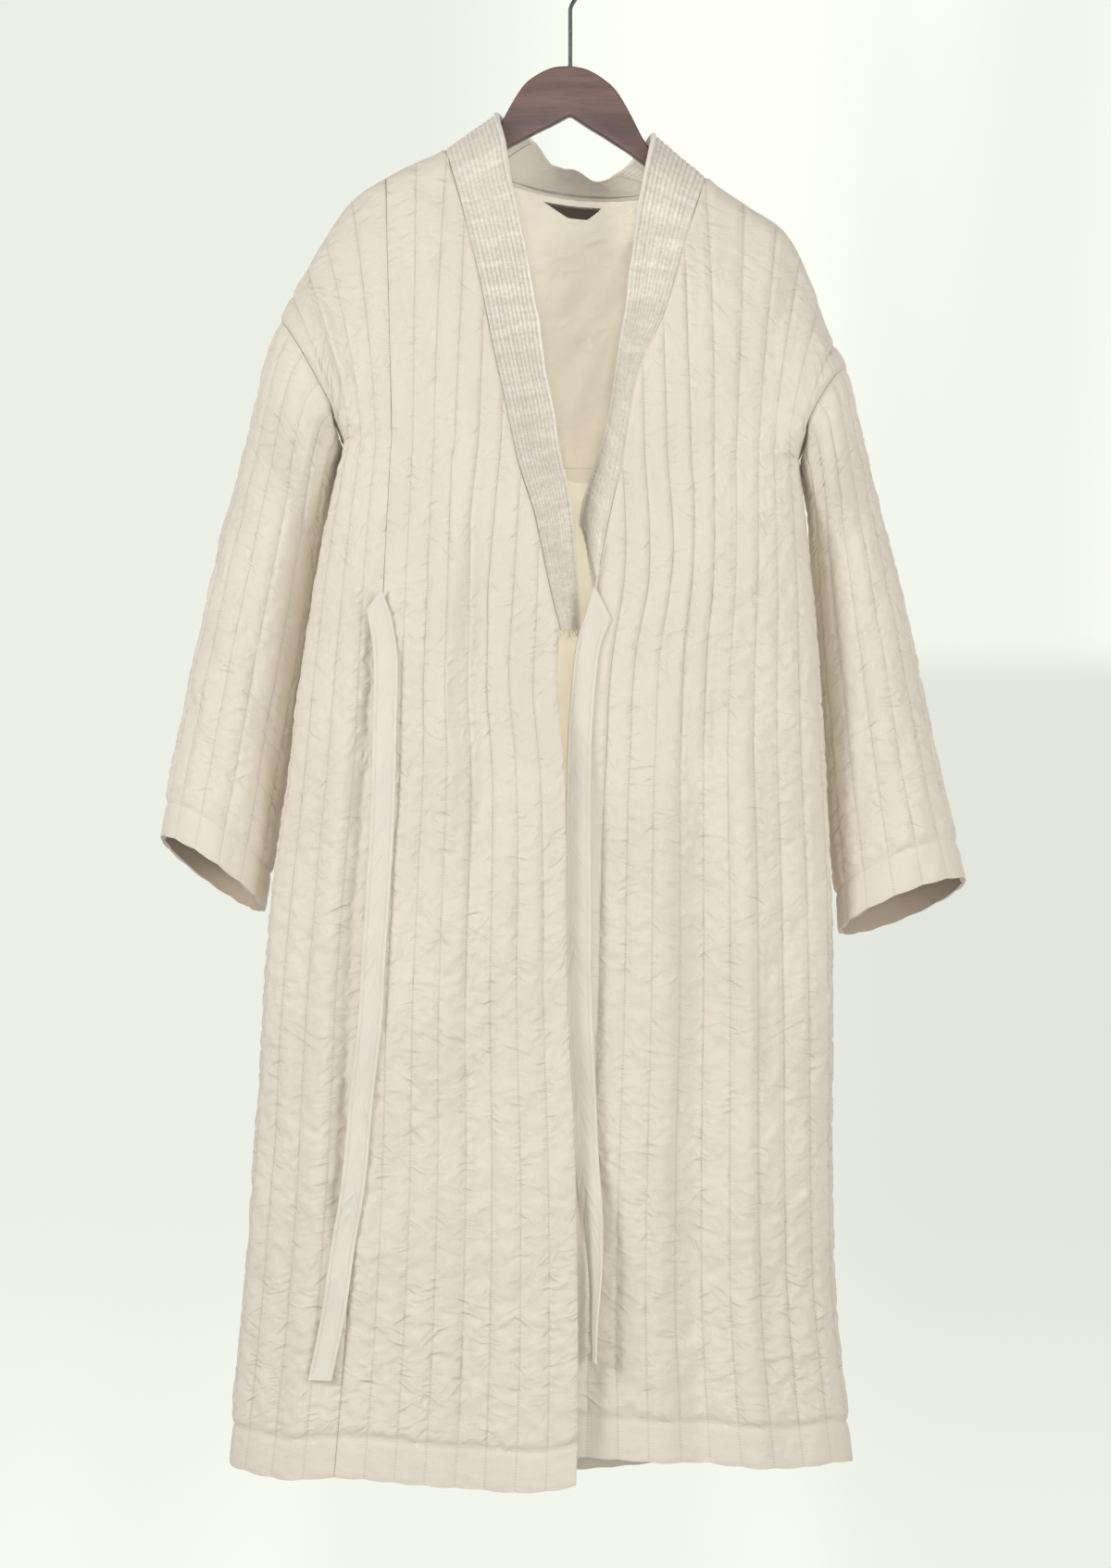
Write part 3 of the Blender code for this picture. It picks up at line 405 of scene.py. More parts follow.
@lru_cache(maxsize=None)
def armhole(side):
    """Centre, long half axis and the two depth axes of the sleeve seam."""
    table = RIDGE_RIGHT if side == RIGHT else RIDGE_LEFT
    top = np.array([table.at("x", 0), 2.0, table.at("drop", 0)])
    foot = lower("right" if side == RIGHT else "left", 0.0, ARMHOLE[side]["drop"])
    size = ARMHOLE[side]
    fore = np.array([0, -1, -size["tilt"]]) * size["front"]
    aft = np.array([0, 1, size["tilt_back"]]) * size["back"]
    return (top + foot) / 2, (top - foot) / 2, fore, aft


def armhole_point(side, angle):
    centre, half, fore, aft = armhole(side)
    deep = fore if angle <= math.pi else -aft
    return centre + half * math.cos(angle) + deep * math.sin(angle)


def armhole_normal(side, angle):
    """Way out of the cloth on the sleeve seam, shared by body and sleeve."""
    return unit(armhole_point(side, angle) - armhole(side)[0])


def under_share(angle):
    """0 on the upper half of the sleeve seam, 1 at its foot."""
    return ease((-math.cos(angle) - 0.5) / 0.4)


def ridge(panel, f):
    """Top of a column: on the shoulder, or over the open neck."""
    if panel == "back":
        if f <= NECK_BACK:
            s = f / NECK_BACK
            return np.array([RIDGE_RIGHT.at("x", s), 0, RIDGE_RIGHT.at("drop", s)])
        if f >= 1 - NECK_BACK:
            s = (1 - f) / NECK_BACK
            return np.array([RIDGE_LEFT.at("x", s), 0, RIDGE_LEFT.at("drop", s)])
        t = (f - NECK_BACK) / (1 - 2 * NECK_BACK)
        a = ridge("back", NECK_BACK)
        b = ridge("back", 1 - NECK_BACK)
        round_neck = math.sin(math.pi * t) ** 0.8
        return (a * (1 - t) + b * t
                + np.array([0, BACK_NECK_OUT, BACK_NECK_DIP]) * round_neck)
    table = RIDGE_RIGHT if panel == "right" else RIDGE_LEFT
    neck = NECK_RIGHT if panel == "right" else NECK_LEFT
    if f <= neck:
        s = f / neck
        return np.array([table.at("x", s), 0, table.at("drop", s)])
    t = (f - neck) / (1 - neck)
    x_edge = (EDGE_RIGHT if panel == "right" else EDGE_LEFT).at("x", 310)
    x = table.at("x", 1) * (1 - t) + x_edge * t
    return np.array([x, -14 * ease(2 * t), table.at("drop", 1) - 30 * t])


def hang(panel, f, v):
    """Upper column from the ridge (v = 0) to the armhole foot (v = 1)."""
    top = ridge(panel, f)
    foot = lower(panel, f, arm_drop(panel, f))
    out = 0.35 * math.sqrt(max(0, 1 - (1 - v) ** 2)) + 0.65 * math.sin(v * math.pi / 2)
    across = 0.6 * math.sin(v * math.pi / 2) + 0.4 * v
    return np.array([top[0] + (foot[0] - top[0]) * across,
                     top[1] + (foot[1] - top[1]) * out,
                     top[2] + (foot[2] - top[2]) * v])


def upper(panel, f, v):
    point = hang(panel, f, v)
    if panel != "left":
        angle = -math.pi * v if panel == "back" else math.pi * v
        edge = armhole_point(RIGHT, angle % (2 * math.pi))
        near = math.exp(-(f / (.10 if panel == "back" else .16)) ** 2)
        point = point + near * (edge - hang(panel, 0.0, v))
    if panel != "right":
        angle = -math.pi * v if panel == "back" else math.pi * v
        edge = armhole_point(LEFT, angle % (2 * math.pi))
        g = 1 - f if panel == "back" else f
        f_edge = 1.0 if panel == "back" else 0.0
        near = math.exp(-(g / (.10 if panel == "back" else .16)) ** 2)
        point = point + near * (edge - hang(panel, f_edge, v))
    return point


def drape(panel, f, run):
    """Point on the inside of a panel, run millimetres down its column."""
    top = ridge(panel, f)[2]
    foot = arm_drop(panel, f)
    if run < foot - top:
        return upper(panel, f, run / (foot - top))
    return lower(panel, f, run + top)


def neck_run(panel, f):
    """Where a column meets the collar seam."""
    if panel == "back":
        return 0.0
    line = NECK_LINE_RIGHT if panel == "right" else NECK_LINE_LEFT
    sign = -1 if panel == "right" else 1
    if f <= (NECK_RIGHT if panel == "right" else NECK_LEFT) + 1e-6:
        return 0.0
    low, high = 0.0, line.keys[-1] - ridge(panel, f)[2]
    for _ in range(40):
        mid = (low + high) / 2
        x, _, drop = drape(panel, f, mid)
        inside = sign * x > sign * line.at("x", drop)
        low, high = (low, mid) if inside else (mid, high)
    return high


def channel_lines(panel):
    if panel == "right":
        side = np.linspace(0, PANEL_SEAM, SIDE_CHANNELS + 1)
        return np.concatenate([side, np.linspace(PANEL_SEAM, 1, CENTRE_CHANNELS + 1)[1:]])
    count = LEFT_CHANNELS if panel == "left" else BACK_CHANNELS
    return np.linspace(0, 1, count + 1)


def fine_lines(lines):
    parts = [lines[:-1] + (lines[1:] - lines[:-1]) * k / THIRDS for k in range(THIRDS)]
    return np.concatenate([np.stack(parts, 1).ravel(), lines[-1:]])


def on_shoulder(panel, f):
    if panel == "back":
        return f < NECK_BACK + 1e-6 or f > 1 - NECK_BACK - 1e-6
    return f < (NECK_RIGHT if panel == "right" else NECK_LEFT) + 1e-6


def side_columns(panel):
    if panel == "back":
        return [(RIGHT, 0), (LEFT, -1)]
    return [(RIGHT if panel == "right" else LEFT, 0)]


def side_normal(side, drop):
    a = on_section("back", .01 if side == RIGHT else .99, drop)
    b = on_section("right" if side == RIGHT else "left", .01, drop)
    step = a - b
    out = np.array([step[1], -step[0], 0.0])
    if out[0] * side < 0:
        out = -out
    return unit(out)


def smooth_weights(stops, places, closed=False):
    """Weights that read a smooth curve through numbered stops at the places."""
    weights = np.zeros((len(places), stops))
    for row, place in zip(weights, places):
        i = int(place) if closed else min(max(int(place), 0), stops - 2)
        t = place - i
        pulls = (t * (t - .5 - .5 * t * t), 1 - 2.5 * t * t + 1.5 * t**3,
                 t * (.5 + 2 * t - 1.5 * t * t), .5 * t * t * (t - 1))
        for k, pull in zip(range(i - 1, i + 3), pulls):
            if closed:
                row[k % stops] += pull
            elif k < 0:
                row[0] += 2 * pull
                row[1] -= pull
            elif k >= stops:
                row[-1] += 2 * pull
                row[-2] -= pull
            else:
                row[k] += pull
    return weights


def spread(grid, row_places, column_places, closed=False):
    """Read a grid of points at finer rows and columns."""
    down = smooth_weights(grid.shape[0], row_places)
    across = smooth_weights(grid.shape[1], column_places, closed)
    return np.einsum("ri,ijk,cj->rck", down, grid, across, optimize=True)


def fine_places(*parts):
    """Finer row places for stretches given as (rows, fine rows)."""
    places = [0.0]
    for rows, fine in parts:
        places += list(places[-1] + np.linspace(0, rows, fine + 1)[1:])
    return np.array(places)


BODY_PLACES = fine_places((ARM_ROWS, FINE_ARM), (LOW_ROWS, FINE_LOW), (HEM_ROWS, FINE_HEM))
SLEEVE_PLACES = fine_places((SLEEVE_LONG_ROWS, FINE_SLEEVE), (HEM_ROWS, FINE_HEM))


def channel_places(count):
    return np.arange(count * FINE_CHANNEL + 1) * THIRDS / FINE_CHANNEL


def column_runs(panel, f):
    """Row places down a column of a panel."""
    top = ridge(panel, f)[2]
    foot = arm_drop(panel, f) - top
    end = hem_drop(panel, f) - top
    runs = np.concatenate([
        np.linspace(0, foot, ARM_ROWS + 1), np.linspace(foot, end - HEM_DEPTH, LOW_ROWS + 1)[1:],
        np.linspace(end - HEM_DEPTH, end, HEM_ROWS + 1)[1:]])
    start = neck_run(panel, f)
    keep = NECK_EASE * end
    return np.where(runs < keep, start + (keep - start) * runs / keep, runs)


def panel_grid(panel):
    """Inside points and ways out of a panel, at thirds of its channels."""
    fs = fine_lines(channel_lines(panel))
    grid = np.array([[drape(panel, f, run) for run in column_runs(panel, f)] for f in fs])
    grid = grid.transpose(1, 0, 2)
    sign = 1.0 if panel == "right" else -1.0
    normal = sign * unit(np.cross(np.gradient(grid, axis=1), np.gradient(grid, axis=0)))
    for j, f in enumerate(fs):
        if on_shoulder(panel, f):
            step = ridge(panel, min(f + .01, 1)) - ridge(panel, max(f - .01, 0))
            up = np.array([step[2], 0, -step[0]])
            normal[0, j] = unit(up if up[2] < 0 else -up)
    for side, j in side_columns(panel):
        foot_way = side_normal(side, ARMHOLE[side]["drop"])
        for i in range(ARM_ROWS + 1):
            turn = i / ARM_ROWS * math.pi
            low = under_share(turn)
            ring = armhole_normal(side, turn if panel != "back" else 2 * math.pi - turn)
            normal[i, j] = unit(ring * (1 - low) + foot_way * low)
        for i in range(ARM_ROWS + 1, len(grid)):
            normal[i, j] = side_normal(side, grid[i, j][2])
        step = 1 if j == 0 else -1
        for i in range(ARM_ROWS // 2, ARM_ROWS + 8):
            for k in range(1, SIDE_BLEND):
                share = k / SIDE_BLEND
                own = normal[i, j + k * step]
                normal[i, j + k * step] = unit(normal[i, j] * (1 - share) + own * share)
    return grid, normal


def collar_grid(grids):
    """Collar band: seam, free edge and ways out, front to front."""
    n_right = (SIDE_CHANNELS + 2) * THIRDS
    n_left = round(NECK_LEFT * LEFT_CHANNELS) * THIRDS
    n_back = round(NECK_BACK * BACK_CHANNELS) * THIRDS
    ends = {panel: grids[panel][0].shape[1] - 1 for panel in grids}
    last = ends["back"] - n_back
    stops = [("right", j) for j in range(ends["right"], n_right - 1, -1)]
    stops += [("back", j) for j in range(n_back + 1, last)]
    stops += [("left", j) for j in range(n_left, ends["left"] + 1)]
    seam = np.array([grids[panel][0][0, j] for panel, j in stops])
    free = []
    for (panel, j), point in zip(stops, seam):
        if panel == "back":
            t = (j - n_back) / (last - n_back)
            turn = math.pi * t
            lift = RIDGE_LIFT["right"] * (1 - t) + RIDGE_LIFT["left"] * t
            free.append(point + np.array([
                COLLAR_WIDTH * math.cos(turn), BACK_LEAN * math.sin(turn),
                -lift - (BACK_STAND - lift) * math.sin(turn)]))
        else:
            free.append(point + band_offset(panel, point))
    free = np.array(free)
    along = unit(np.gradient((seam + free) / 2, axis=0))
    normal = unit(np.cross(along, free - seam))
    for i, (panel, j) in enumerate(stops):
        shared = unit(normal[i] + grids[panel][1][0, j])
        if j == {"right": n_right, "left": n_left}.get(panel):
            shared = unit(shared * (1, 0, 1))
            grids["back"][1][0, n_back if panel == "right" else last] = shared
        grids[panel][1][0, j] = shared
    at_seam = np.array([grids[panel][1][0, j] for panel, j in stops])
    return seam, free, normal, at_seam


def band_offset(panel, point):
    """From the collar seam to the free edge of the band on a front."""
    line = NECK_LINE_RIGHT if panel == "right" else NECK_LINE_LEFT
    inward = 1 if panel == "right" else -1
    show = line.at("show", point[2])
    step = 12.0
    slope = (line.at("x", point[2] + step) - line.at("x", point[2] - step)) / (2 * step)
    below = point[2] - line.keys[0]
    lift = RIDGE_LIFT[panel] * (1 - ease(below / 70))
    forward = RIDGE_FORWARD * ease(below / 12) * (1 - ease(below / 120))
    width = COLLAR_WIDTH * (1 - 0.28 * ease((point[2] - 380) / 110))
    rise = max(abs(slope) * show, lift)
    back = math.sqrt(max(width**2 - show**2, 0))
    return np.array([inward * show, back - forward, -rise])


@lru_cache(maxsize=None)
def coat_grids():
    """The three body panels and the collar, which share their seams."""
    grids = {panel: panel_grid(panel) for panel in ("right", "left", "back")}
    return grids, collar_grid(grids)


def sleeve_ring(side, w, angle):
    """Inside point of a sleeve, w down its length, angle round from the top."""
    if w <= 0:
        lap = LAP * under_share(angle)
        return armhole_point(side, angle) + np.array([side * lap, 0, 0])
    centre, half, fore, aft = armhole(side)
    top = np.array([SLEEVE_EDGE[side].at("x", w), 0, SLEEVE_EDGE[side].at("drop", w)])
    foot0 = centre - half
    x_in, drop_in = CUFF_INSIDE[side]
    foot = np.array([foot0[0] + (x_in - foot0[0]) * w, 0,
                     foot0[2] + (drop_in - foot0[2]) * w])
    foot[0] += side * (LAP + LAP_CLEAR * (1 - math.exp(-w / .06))) * (1 - w)
    settle = ease(w / .25)
    middle = SLEEVE_DEPTH.at("y", w)
    top[1] = 2.0 * (1 - settle) + middle * settle
    foot[1] = foot0[1] * (1 - settle) + middle * settle
    tilt = ARMHOLE[side]["tilt" if angle <= math.pi else "tilt_back"]
    tilt = tilt * (1 - w) + CUFF_TILT * w
    depth = (fore if angle <= math.pi else aft)[1]
    depth = abs(depth) * (1 - w) + CUFF_HALF_DEPTH * w
    mid = (top + foot) / 2 + np.array([0, 0, CUFF_LIFT * w])
    return (mid + (top - foot) / 2 * math.cos(angle)
            + np.array([0, -1, -tilt]) * depth * math.sin(angle))


def sleeve_grid(side):
    """Inside points and ways out of a sleeve, round it at thirds of channels."""
    count = SLEEVE_CHANNELS * THIRDS
    length = SLEEVE_EDGE[side].at("drop", 1) - SLEEVE_EDGE[side].at("drop", 0)
    hem = 1 - HEM_DEPTH / length
    rows = np.concatenate([np.linspace(0, hem, SLEEVE_LONG_ROWS + 1),
                           np.linspace(hem, 1, HEM_ROWS + 1)[1:]])
    turns = [2 * math.pi * j / count for j in range(count)]
    grid = np.array([[sleeve_ring(side, w, a) for a in turns] for w in rows])
    across = np.roll(grid, -1, 1) - np.roll(grid, 1, 1)
    normal = unit(np.cross(across, np.gradient(grid, axis=0)))
    out = grid - grid.mean(1, keepdims=True)
    normal *= np.sign((normal * out).sum((1, 2)).mean())
    for j, turn in enumerate(turns):
        low = under_share(turn)
        normal[0, j] = unit(armhole_normal(side, turn) * (1 - low) + normal[0, j] * low)
    _, long_half, fore, _ = armhole(side)
    away = unit(np.cross(long_half, fore))
    grid[0] += GAP * away * np.sign(away[2])
    return grid, normal


def sew_back(grid, top, first, last):
    """Pull a panel's points back from its seams."""
    moved = grid.copy()
    if first:
        moved[:, 0] += GAP / 2 * unit(grid[:, 1] - grid[:, 0])
    if last:
        moved[:, -1] += GAP / 2 * unit(grid[:, -2] - grid[:, -1])
    if top:
        moved[0] += GAP * unit(grid[1] - grid[0])
    return moved


def straighten(cloth, start, column, stop):
    """Slide columns within the cloth so that they run straighter past the armhole."""
    slid = cloth.copy()
    places = np.arange(cloth.shape[1], dtype=float)
    tent = np.interp(places, (start, column, stop), (0, 1, 0))
    top, foot = cloth[0, column], cloth[2 * FINE_ARM, column]
    for i in range(1, 2 * FINE_ARM):
        row = cloth[i]
        straight = np.interp(row[column, 2], (top[2], foot[2]), (top[0], foot[0]))
        slope = (row[column + 2, 0] - row[column - 2, 0]) / 4
        shift = STRAIGHT * (straight - row[column, 0]) / slope
        at = places + tent * np.clip(shift, -FINE_CHANNEL, FINE_CHANNEL)
        slid[i] = np.stack([np.interp(at, places, part) for part in row.T], 1)
    return slid


def along_columns(points):
    """Distance down every column from its first row."""
    steps = np.linalg.norm(np.diff(points, axis=0), axis=2)
    return np.vstack([np.zeros((1, points.shape[1])), np.cumsum(steps, axis=0)])


def across_rows(points):
    steps = np.linalg.norm(np.diff(points, axis=1), axis=2)
    return np.hstack([np.zeros((points.shape[0], 1)), np.cumsum(steps, axis=1)])


def dip(distance, width):
    """0 on a sewn line, rising to 1 beside it."""
    return 1 - np.exp(-(distance / width) ** 1.2)


def loft(base, look, hem_row, closed):
    """Height of the padding over the plain inside, low on every sewn line."""
    columns = base.shape[1]
    ring = np.concatenate([base, base[:, :1]], 1) if closed else base
    sewn = ring[:, ::FINE_CHANNEL]
    widths = np.linalg.norm(np.diff(sewn, axis=1), axis=2)
    place = np.arange(columns)
    channel = np.minimum(place // FINE_CHANNEL, widths.shape[1] - 1)
    share = (place - channel * FINE_CHANNEL) / FINE_CHANNEL
    wide = widths[:, channel]
    high = dip(np.minimum(share, 1 - share) * wide, look.dimple / MM)
    high *= np.clip(wide / FULL_CHANNEL, FLAT_SHARE, 1)
    run = along_columns(base)
    high *= dip(run, SEAM_DIP)
    from_hem = np.abs(run - run[hem_row])
    high *= .25 + .75 * dip(from_hem, HEM_DIP)
    high *= np.where(run > run[hem_row], HEM_FLAT, 1)
    high *= .3 + .7 * dip(run[-1] - run, HEM_DIP)
    tuck = HEM_TUCK * np.exp(-(from_hem / TUCK_WIDE) ** 2)
    return WALL - tuck + look.loft / MM * high


def to_world(points):
    points = np.asarray(points, float)
    placed = points.copy()
    placed[..., 2] = -(points[..., 2] + HOOK_RISE)
    return placed * MM


def grid_quads(rows, columns, closed):
    """Corner numbers of a grid's quads, with each corner's row and column."""
    i, j = np.meshgrid(np.arange(rows - 1), np.arange(columns if closed else columns - 1),
                       indexing="ij")
    i, j = i.ravel(), j.ravel()
    at_rows = np.stack([i, i, i + 1, i + 1], 1)
    at_columns = np.stack([j, j + 1, j + 1, j], 1)
    return at_rows * columns + at_columns % columns, at_rows, at_columns


def rim_loops(rows, columns, step, closed):
    """Faces that close the wall between the outer and the plain inner grid.

    Each is a pair: (row, column) places on the outer grid, then on the inner.
    """
    loops = []
    inner_rows = (rows - 1) // step[0] + 1
    inner_columns = columns // step[1] if closed else (columns - 1) // step[1] + 1
    for j in range(inner_columns if closed else inner_columns - 1):
        span = range(j * step[1], (j + 1) * step[1] + 1)
        loops.append(([(0, c) for c in span][::-1], [(0, j), (0, j + 1)]))
        loops.append(([(rows - 1, c) for c in span],
                      [(inner_rows - 1, j + 1), (inner_rows - 1, j)]))
    for i in range(0 if closed else inner_rows - 1):
        span = range(i * step[0], (i + 1) * step[0] + 1)
        loops.append(([(r, 0) for r in span], [(i + 1, 0), (i, 0)]))
        loops.append(([(r, columns - 1) for r in span][::-1],
                      [(i, inner_columns - 1), (i + 1, inner_columns - 1)]))
    return loops


def wall(name, inner, outer, step, finishes, cloth, quilt=None, closed=False):
    """Closed cloth wall: a fine outer grid over a plain inner one.

    cloth and quilt are the outer grid's places in metres and in channels.
    A closed grid's places have one more column than its points.
    """
    rows, columns = outer.shape[:2]
    inner_columns = inner.shape[1]
    base = rows * columns
    points = to_world(np.concatenate([outer.reshape(-1, 3), inner.reshape(-1, 3)]))
    quads, at_rows, at_columns = grid_quads(rows, columns, closed)
    inside, in_rows, in_columns = grid_quads(inner.shape[0], inner_columns, closed)
    faces = [quads, inside[:, ::-1] + base]
    uv_places = [np.stack([at_rows, at_columns], 2).reshape(-1, 2),
                 np.stack([in_rows * step[0], in_columns * step[1]], 2)[:, ::-1].reshape(-1, 2)]
    loops = rim_loops(rows, columns, step, closed)
    rims = []
    rim_places = []
    for outs, ins in loops:
        rims.append([r * columns + c % columns for r, c in outs]
                    + [base + r * inner_columns + c % inner_columns for r, c in ins])
        rim_places += outs + [(r * step[0], c * step[1]) for r, c in ins]
    uv_places.append(np.array(rim_places))
    mesh = bpy.data.meshes.new(name)
    corners = np.concatenate([faces[0].ravel(), faces[1].ravel(),
                              np.concatenate([np.array(r) for r in rims])])
    sizes = np.concatenate([np.full(len(faces[0]) + len(faces[1]), 4),
                            np.array([len(r) for r in rims])])
    mesh.vertices.add(len(points))
    mesh.vertices.foreach_set("co", points.astype(np.float32).ravel())
    mesh.loops.add(len(corners))
    mesh.loops.foreach_set("vertex_index", corners.astype(np.int32))
    mesh.polygons.add(len(sizes))
    starts = np.concatenate([[0], np.cumsum(sizes)[:-1]])
    mesh.polygons.foreach_set("loop_start", starts.astype(np.int32))
    slots = np.zeros(len(sizes), int)
    slots[len(quads):len(quads) + len(inside)] = 1 if len(finishes) > 1 else 0
    mesh.polygons.foreach_set("material_index", slots.astype(np.int32))
    places = np.concatenate(uv_places).astype(int)
    for layer, values in (("cloth", cloth), ("quilt", quilt)):
        if values is not None:
            uv = mesh.uv_layers.new(name=layer)
            spots = values[places[:, 0], places[:, 1]]
            uv.data.foreach_set("uv", spots.astype(np.float32).ravel())
    mesh.update(calc_edges=True)
    mesh.validate()
    middle = quads[len(quads) // 2]
    a, b, _, d = points[middle]
    way = np.cross(b - a, d - a)
    under = inner.reshape(-1, 3)
    near = to_world(under)[np.linalg.norm(to_world(under) - a, axis=1).argmin()]
    if np.dot(way, a - near) < 0:
        mesh.flip_normals()
    mesh.shade_smooth()
    mesh.set_sharp_from_angle(angle=math.radians(RIM_ANGLE))
    for finish in finishes:
        mesh.materials.append(finish)
    piece = bpy.data.objects.new(name, mesh)
    bpy.context.scene.collection.objects.link(piece)
    return piece


def sewn_cloth(start, held, spare, look, closed):
    """Let cloth that is longer than its sewn lines buckle where there is spare."""
    rows, columns = start.shape[:2]
    quads, _, _ = grid_quads(rows, columns, closed)
    mesh = bpy.data.meshes.new("buckling_cloth")
    mesh.from_pydata(to_world(start).reshape(-1, 3), [], quads.tolist())
    cloth = bpy.data.objects.new("buckling_cloth", mesh)
    bpy.context.scene.collection.objects.link(cloth)
    group = cloth.vertex_groups.new(name="sewn")
    group.add(np.flatnonzero(held.ravel()).tolist(), 1.0, "REPLACE")
    taut = cloth.vertex_groups.new(name="taut")
    level = np.rint((1 - spare.ravel()) * 20).astype(int)
    for step in range(1, 21):
        taut.add(np.flatnonzero(level == step).tolist(), step / 20, "REPLACE")
    sim = cloth.modifiers.new("buckle", "CLOTH")
    rules = sim.settings
    rules.quality = look.pucker_quality
    rules.mass = look.pucker_mass
    rules.tension_stiffness = look.pucker_stiffness
    rules.compression_stiffness = look.pucker_stiffness
    rules.shear_stiffness = look.pucker_stiffness / 3
    rules.bending_stiffness = look.pucker_bending
    rules.tension_damping = 5
    rules.compression_damping = 5
    rules.shear_damping = 5
    rules.air_damping = 4
    rules.use_pressure = True
    rules.uniform_pressure_force = look.pucker_pressure
    rules.shrink_min = -look.pucker_growth
    rules.shrink_max = 0
    rules.vertex_group_shrink = "taut"
    rules.effector_weights.gravity = 0
    rules.vertex_group_mass = "sewn"
    sim.collision_settings.use_collision = False
    sim.point_cache.frame_start = 1
    sim.point_cache.frame_end = look.pucker_frames
    scene = bpy.context.scene
    for number in range(1, look.pucker_frames + 1):
        scene.frame_set(number)
    graph = bpy.context.evaluated_depsgraph_get()
    shown = cloth.evaluated_get(graph)
    after = np.empty(rows * columns * 3)
    shown.to_mesh().vertices.foreach_get("co", after)
    shown.to_mesh_clear()
    scene.frame_set(1)
    bpy.data.objects.remove(cloth)
    bpy.data.meshes.remove(mesh)
    after = after.reshape(rows, columns, 3) / MM
    after[..., 2] = -after[..., 2] - HOOK_RISE
    return after


def add(tree, kind, sockets=None, **settings):
    """New node with its settings and its inputs, which are values or links."""
    made = tree.nodes.new(kind)
    for key, value in settings.items():
        setattr(made, key, value)
    for key, value in (sockets or {}).items():
        if isinstance(value, bpy.types.NodeSocket):
            tree.links.new(value, made.inputs[key])
        else:
            made.inputs[key].default_value = value
    return made


def maths(tree, operation, a, b=0.0, clamp=False):
    made = add(tree, "ShaderNodeMath", {0: a, 1: b}, operation=operation, use_clamp=clamp)
    return made.outputs[0]


def fade(tree, value, low, high, start=0.0, end=1.0):
    made = add(tree, "ShaderNodeMapRange", {
        "Value": value, "From Min": low, "From Max": high, "To Min": start, "To Max": end},
        interpolation_type="SMOOTHSTEP")
    return made.outputs[0]


def mixed(tree, share, a, b, blend="MIX"):
    made = add(tree, "ShaderNodeMix", {0: share, 6: a, 7: b}, data_type="RGBA", blend_type=blend)
    return made.outputs[2]


def speckle(tree, where, scale, detail=3.0, rough=0.55, stretch=(1, 1, 1)):
    """Noise read at the given places, stretched along its axes."""
    if stretch != (1, 1, 1):
        where = add(tree, "ShaderNodeMapping", {"Vector": where, "Scale": stretch}).outputs[0]
    made = add(tree, "ShaderNodeTexNoise", {
        "Vector": where, "Scale": scale, "Detail": detail, "Roughness": rough})
    return made.outputs[0]


def raise_by(tree, height, metres, under=None):
    sockets = {"Height": height, "Distance": metres, "Strength": 1.0}
    if under is not None:
        sockets["Normal"] = under
    return add(tree, "ShaderNodeBump", sockets).outputs[0]


def rgba(colour, scale=1.0):
    return (*(min(c * scale, 1) for c in colour), 1)


def new_finish(name):
    finish = bpy.data.materials.new(name)
    finish.use_nodes = True
    return finish, finish.node_tree, finish.node_tree.nodes["Principled BSDF"]


def cloth_relief(tree, where, weave, crumple):
    """Weave, slubs and small crumples of a washed cotton."""
    threads = speckle(tree, where, weave, 2, .6, (1, .35, 1))
    cross = speckle(tree, where, weave, 2, .6, (.35, 1, 1))
    woven = maths(tree, "MULTIPLY", maths(tree, "ADD", threads, cross), .5)
    soft = speckle(tree, where, 120, 3, .5)
    folded = speckle(tree, where, 52, 2, .5, (1, 1.7, 1))
    relief = raise_by(tree, folded, crumple)
    relief = raise_by(tree, soft, crumple * .4, relief)
    return raise_by(tree, woven, .00012, relief), woven


def fine_creases(tree, where, across, spacing, most=1.0):
    """Sharp little creases that slant across, in patches: (degrees, share) pairs."""
    found = None
    for degrees, share in across:
        lie = add(tree, "ShaderNodeVectorRotate", {"Vector": where, "Angle": math.radians(degrees),
                                                   "Center": (.1 * degrees, .37, 0)},
                  rotation_type="Z_AXIS").outputs[0]
        field = speckle(tree, lie, spacing, 1.5, .4, (.38, 1, 1))
        line = fade(tree, maths(tree, "ABSOLUTE", maths(tree, "SUBTRACT", field, .5)), 0, .125, most, 0)
        patch = fade(tree, speckle(tree, lie, spacing * .35, 2, .5), .52 - share, .66 - share)
        line = maths(tree, "MULTIPLY", line, patch)
        found = line if found is None else maths(tree, "MAXIMUM", found, line)
    return found


def soft_cloth(shader, sheen):
    shader.inputs["Roughness"].default_value = .88
    shader.inputs["Specular IOR Level"].default_value = .25
    shader.inputs["Sheen Weight"].default_value = sheen
    shader.inputs["Sheen Roughness"].default_value = .45


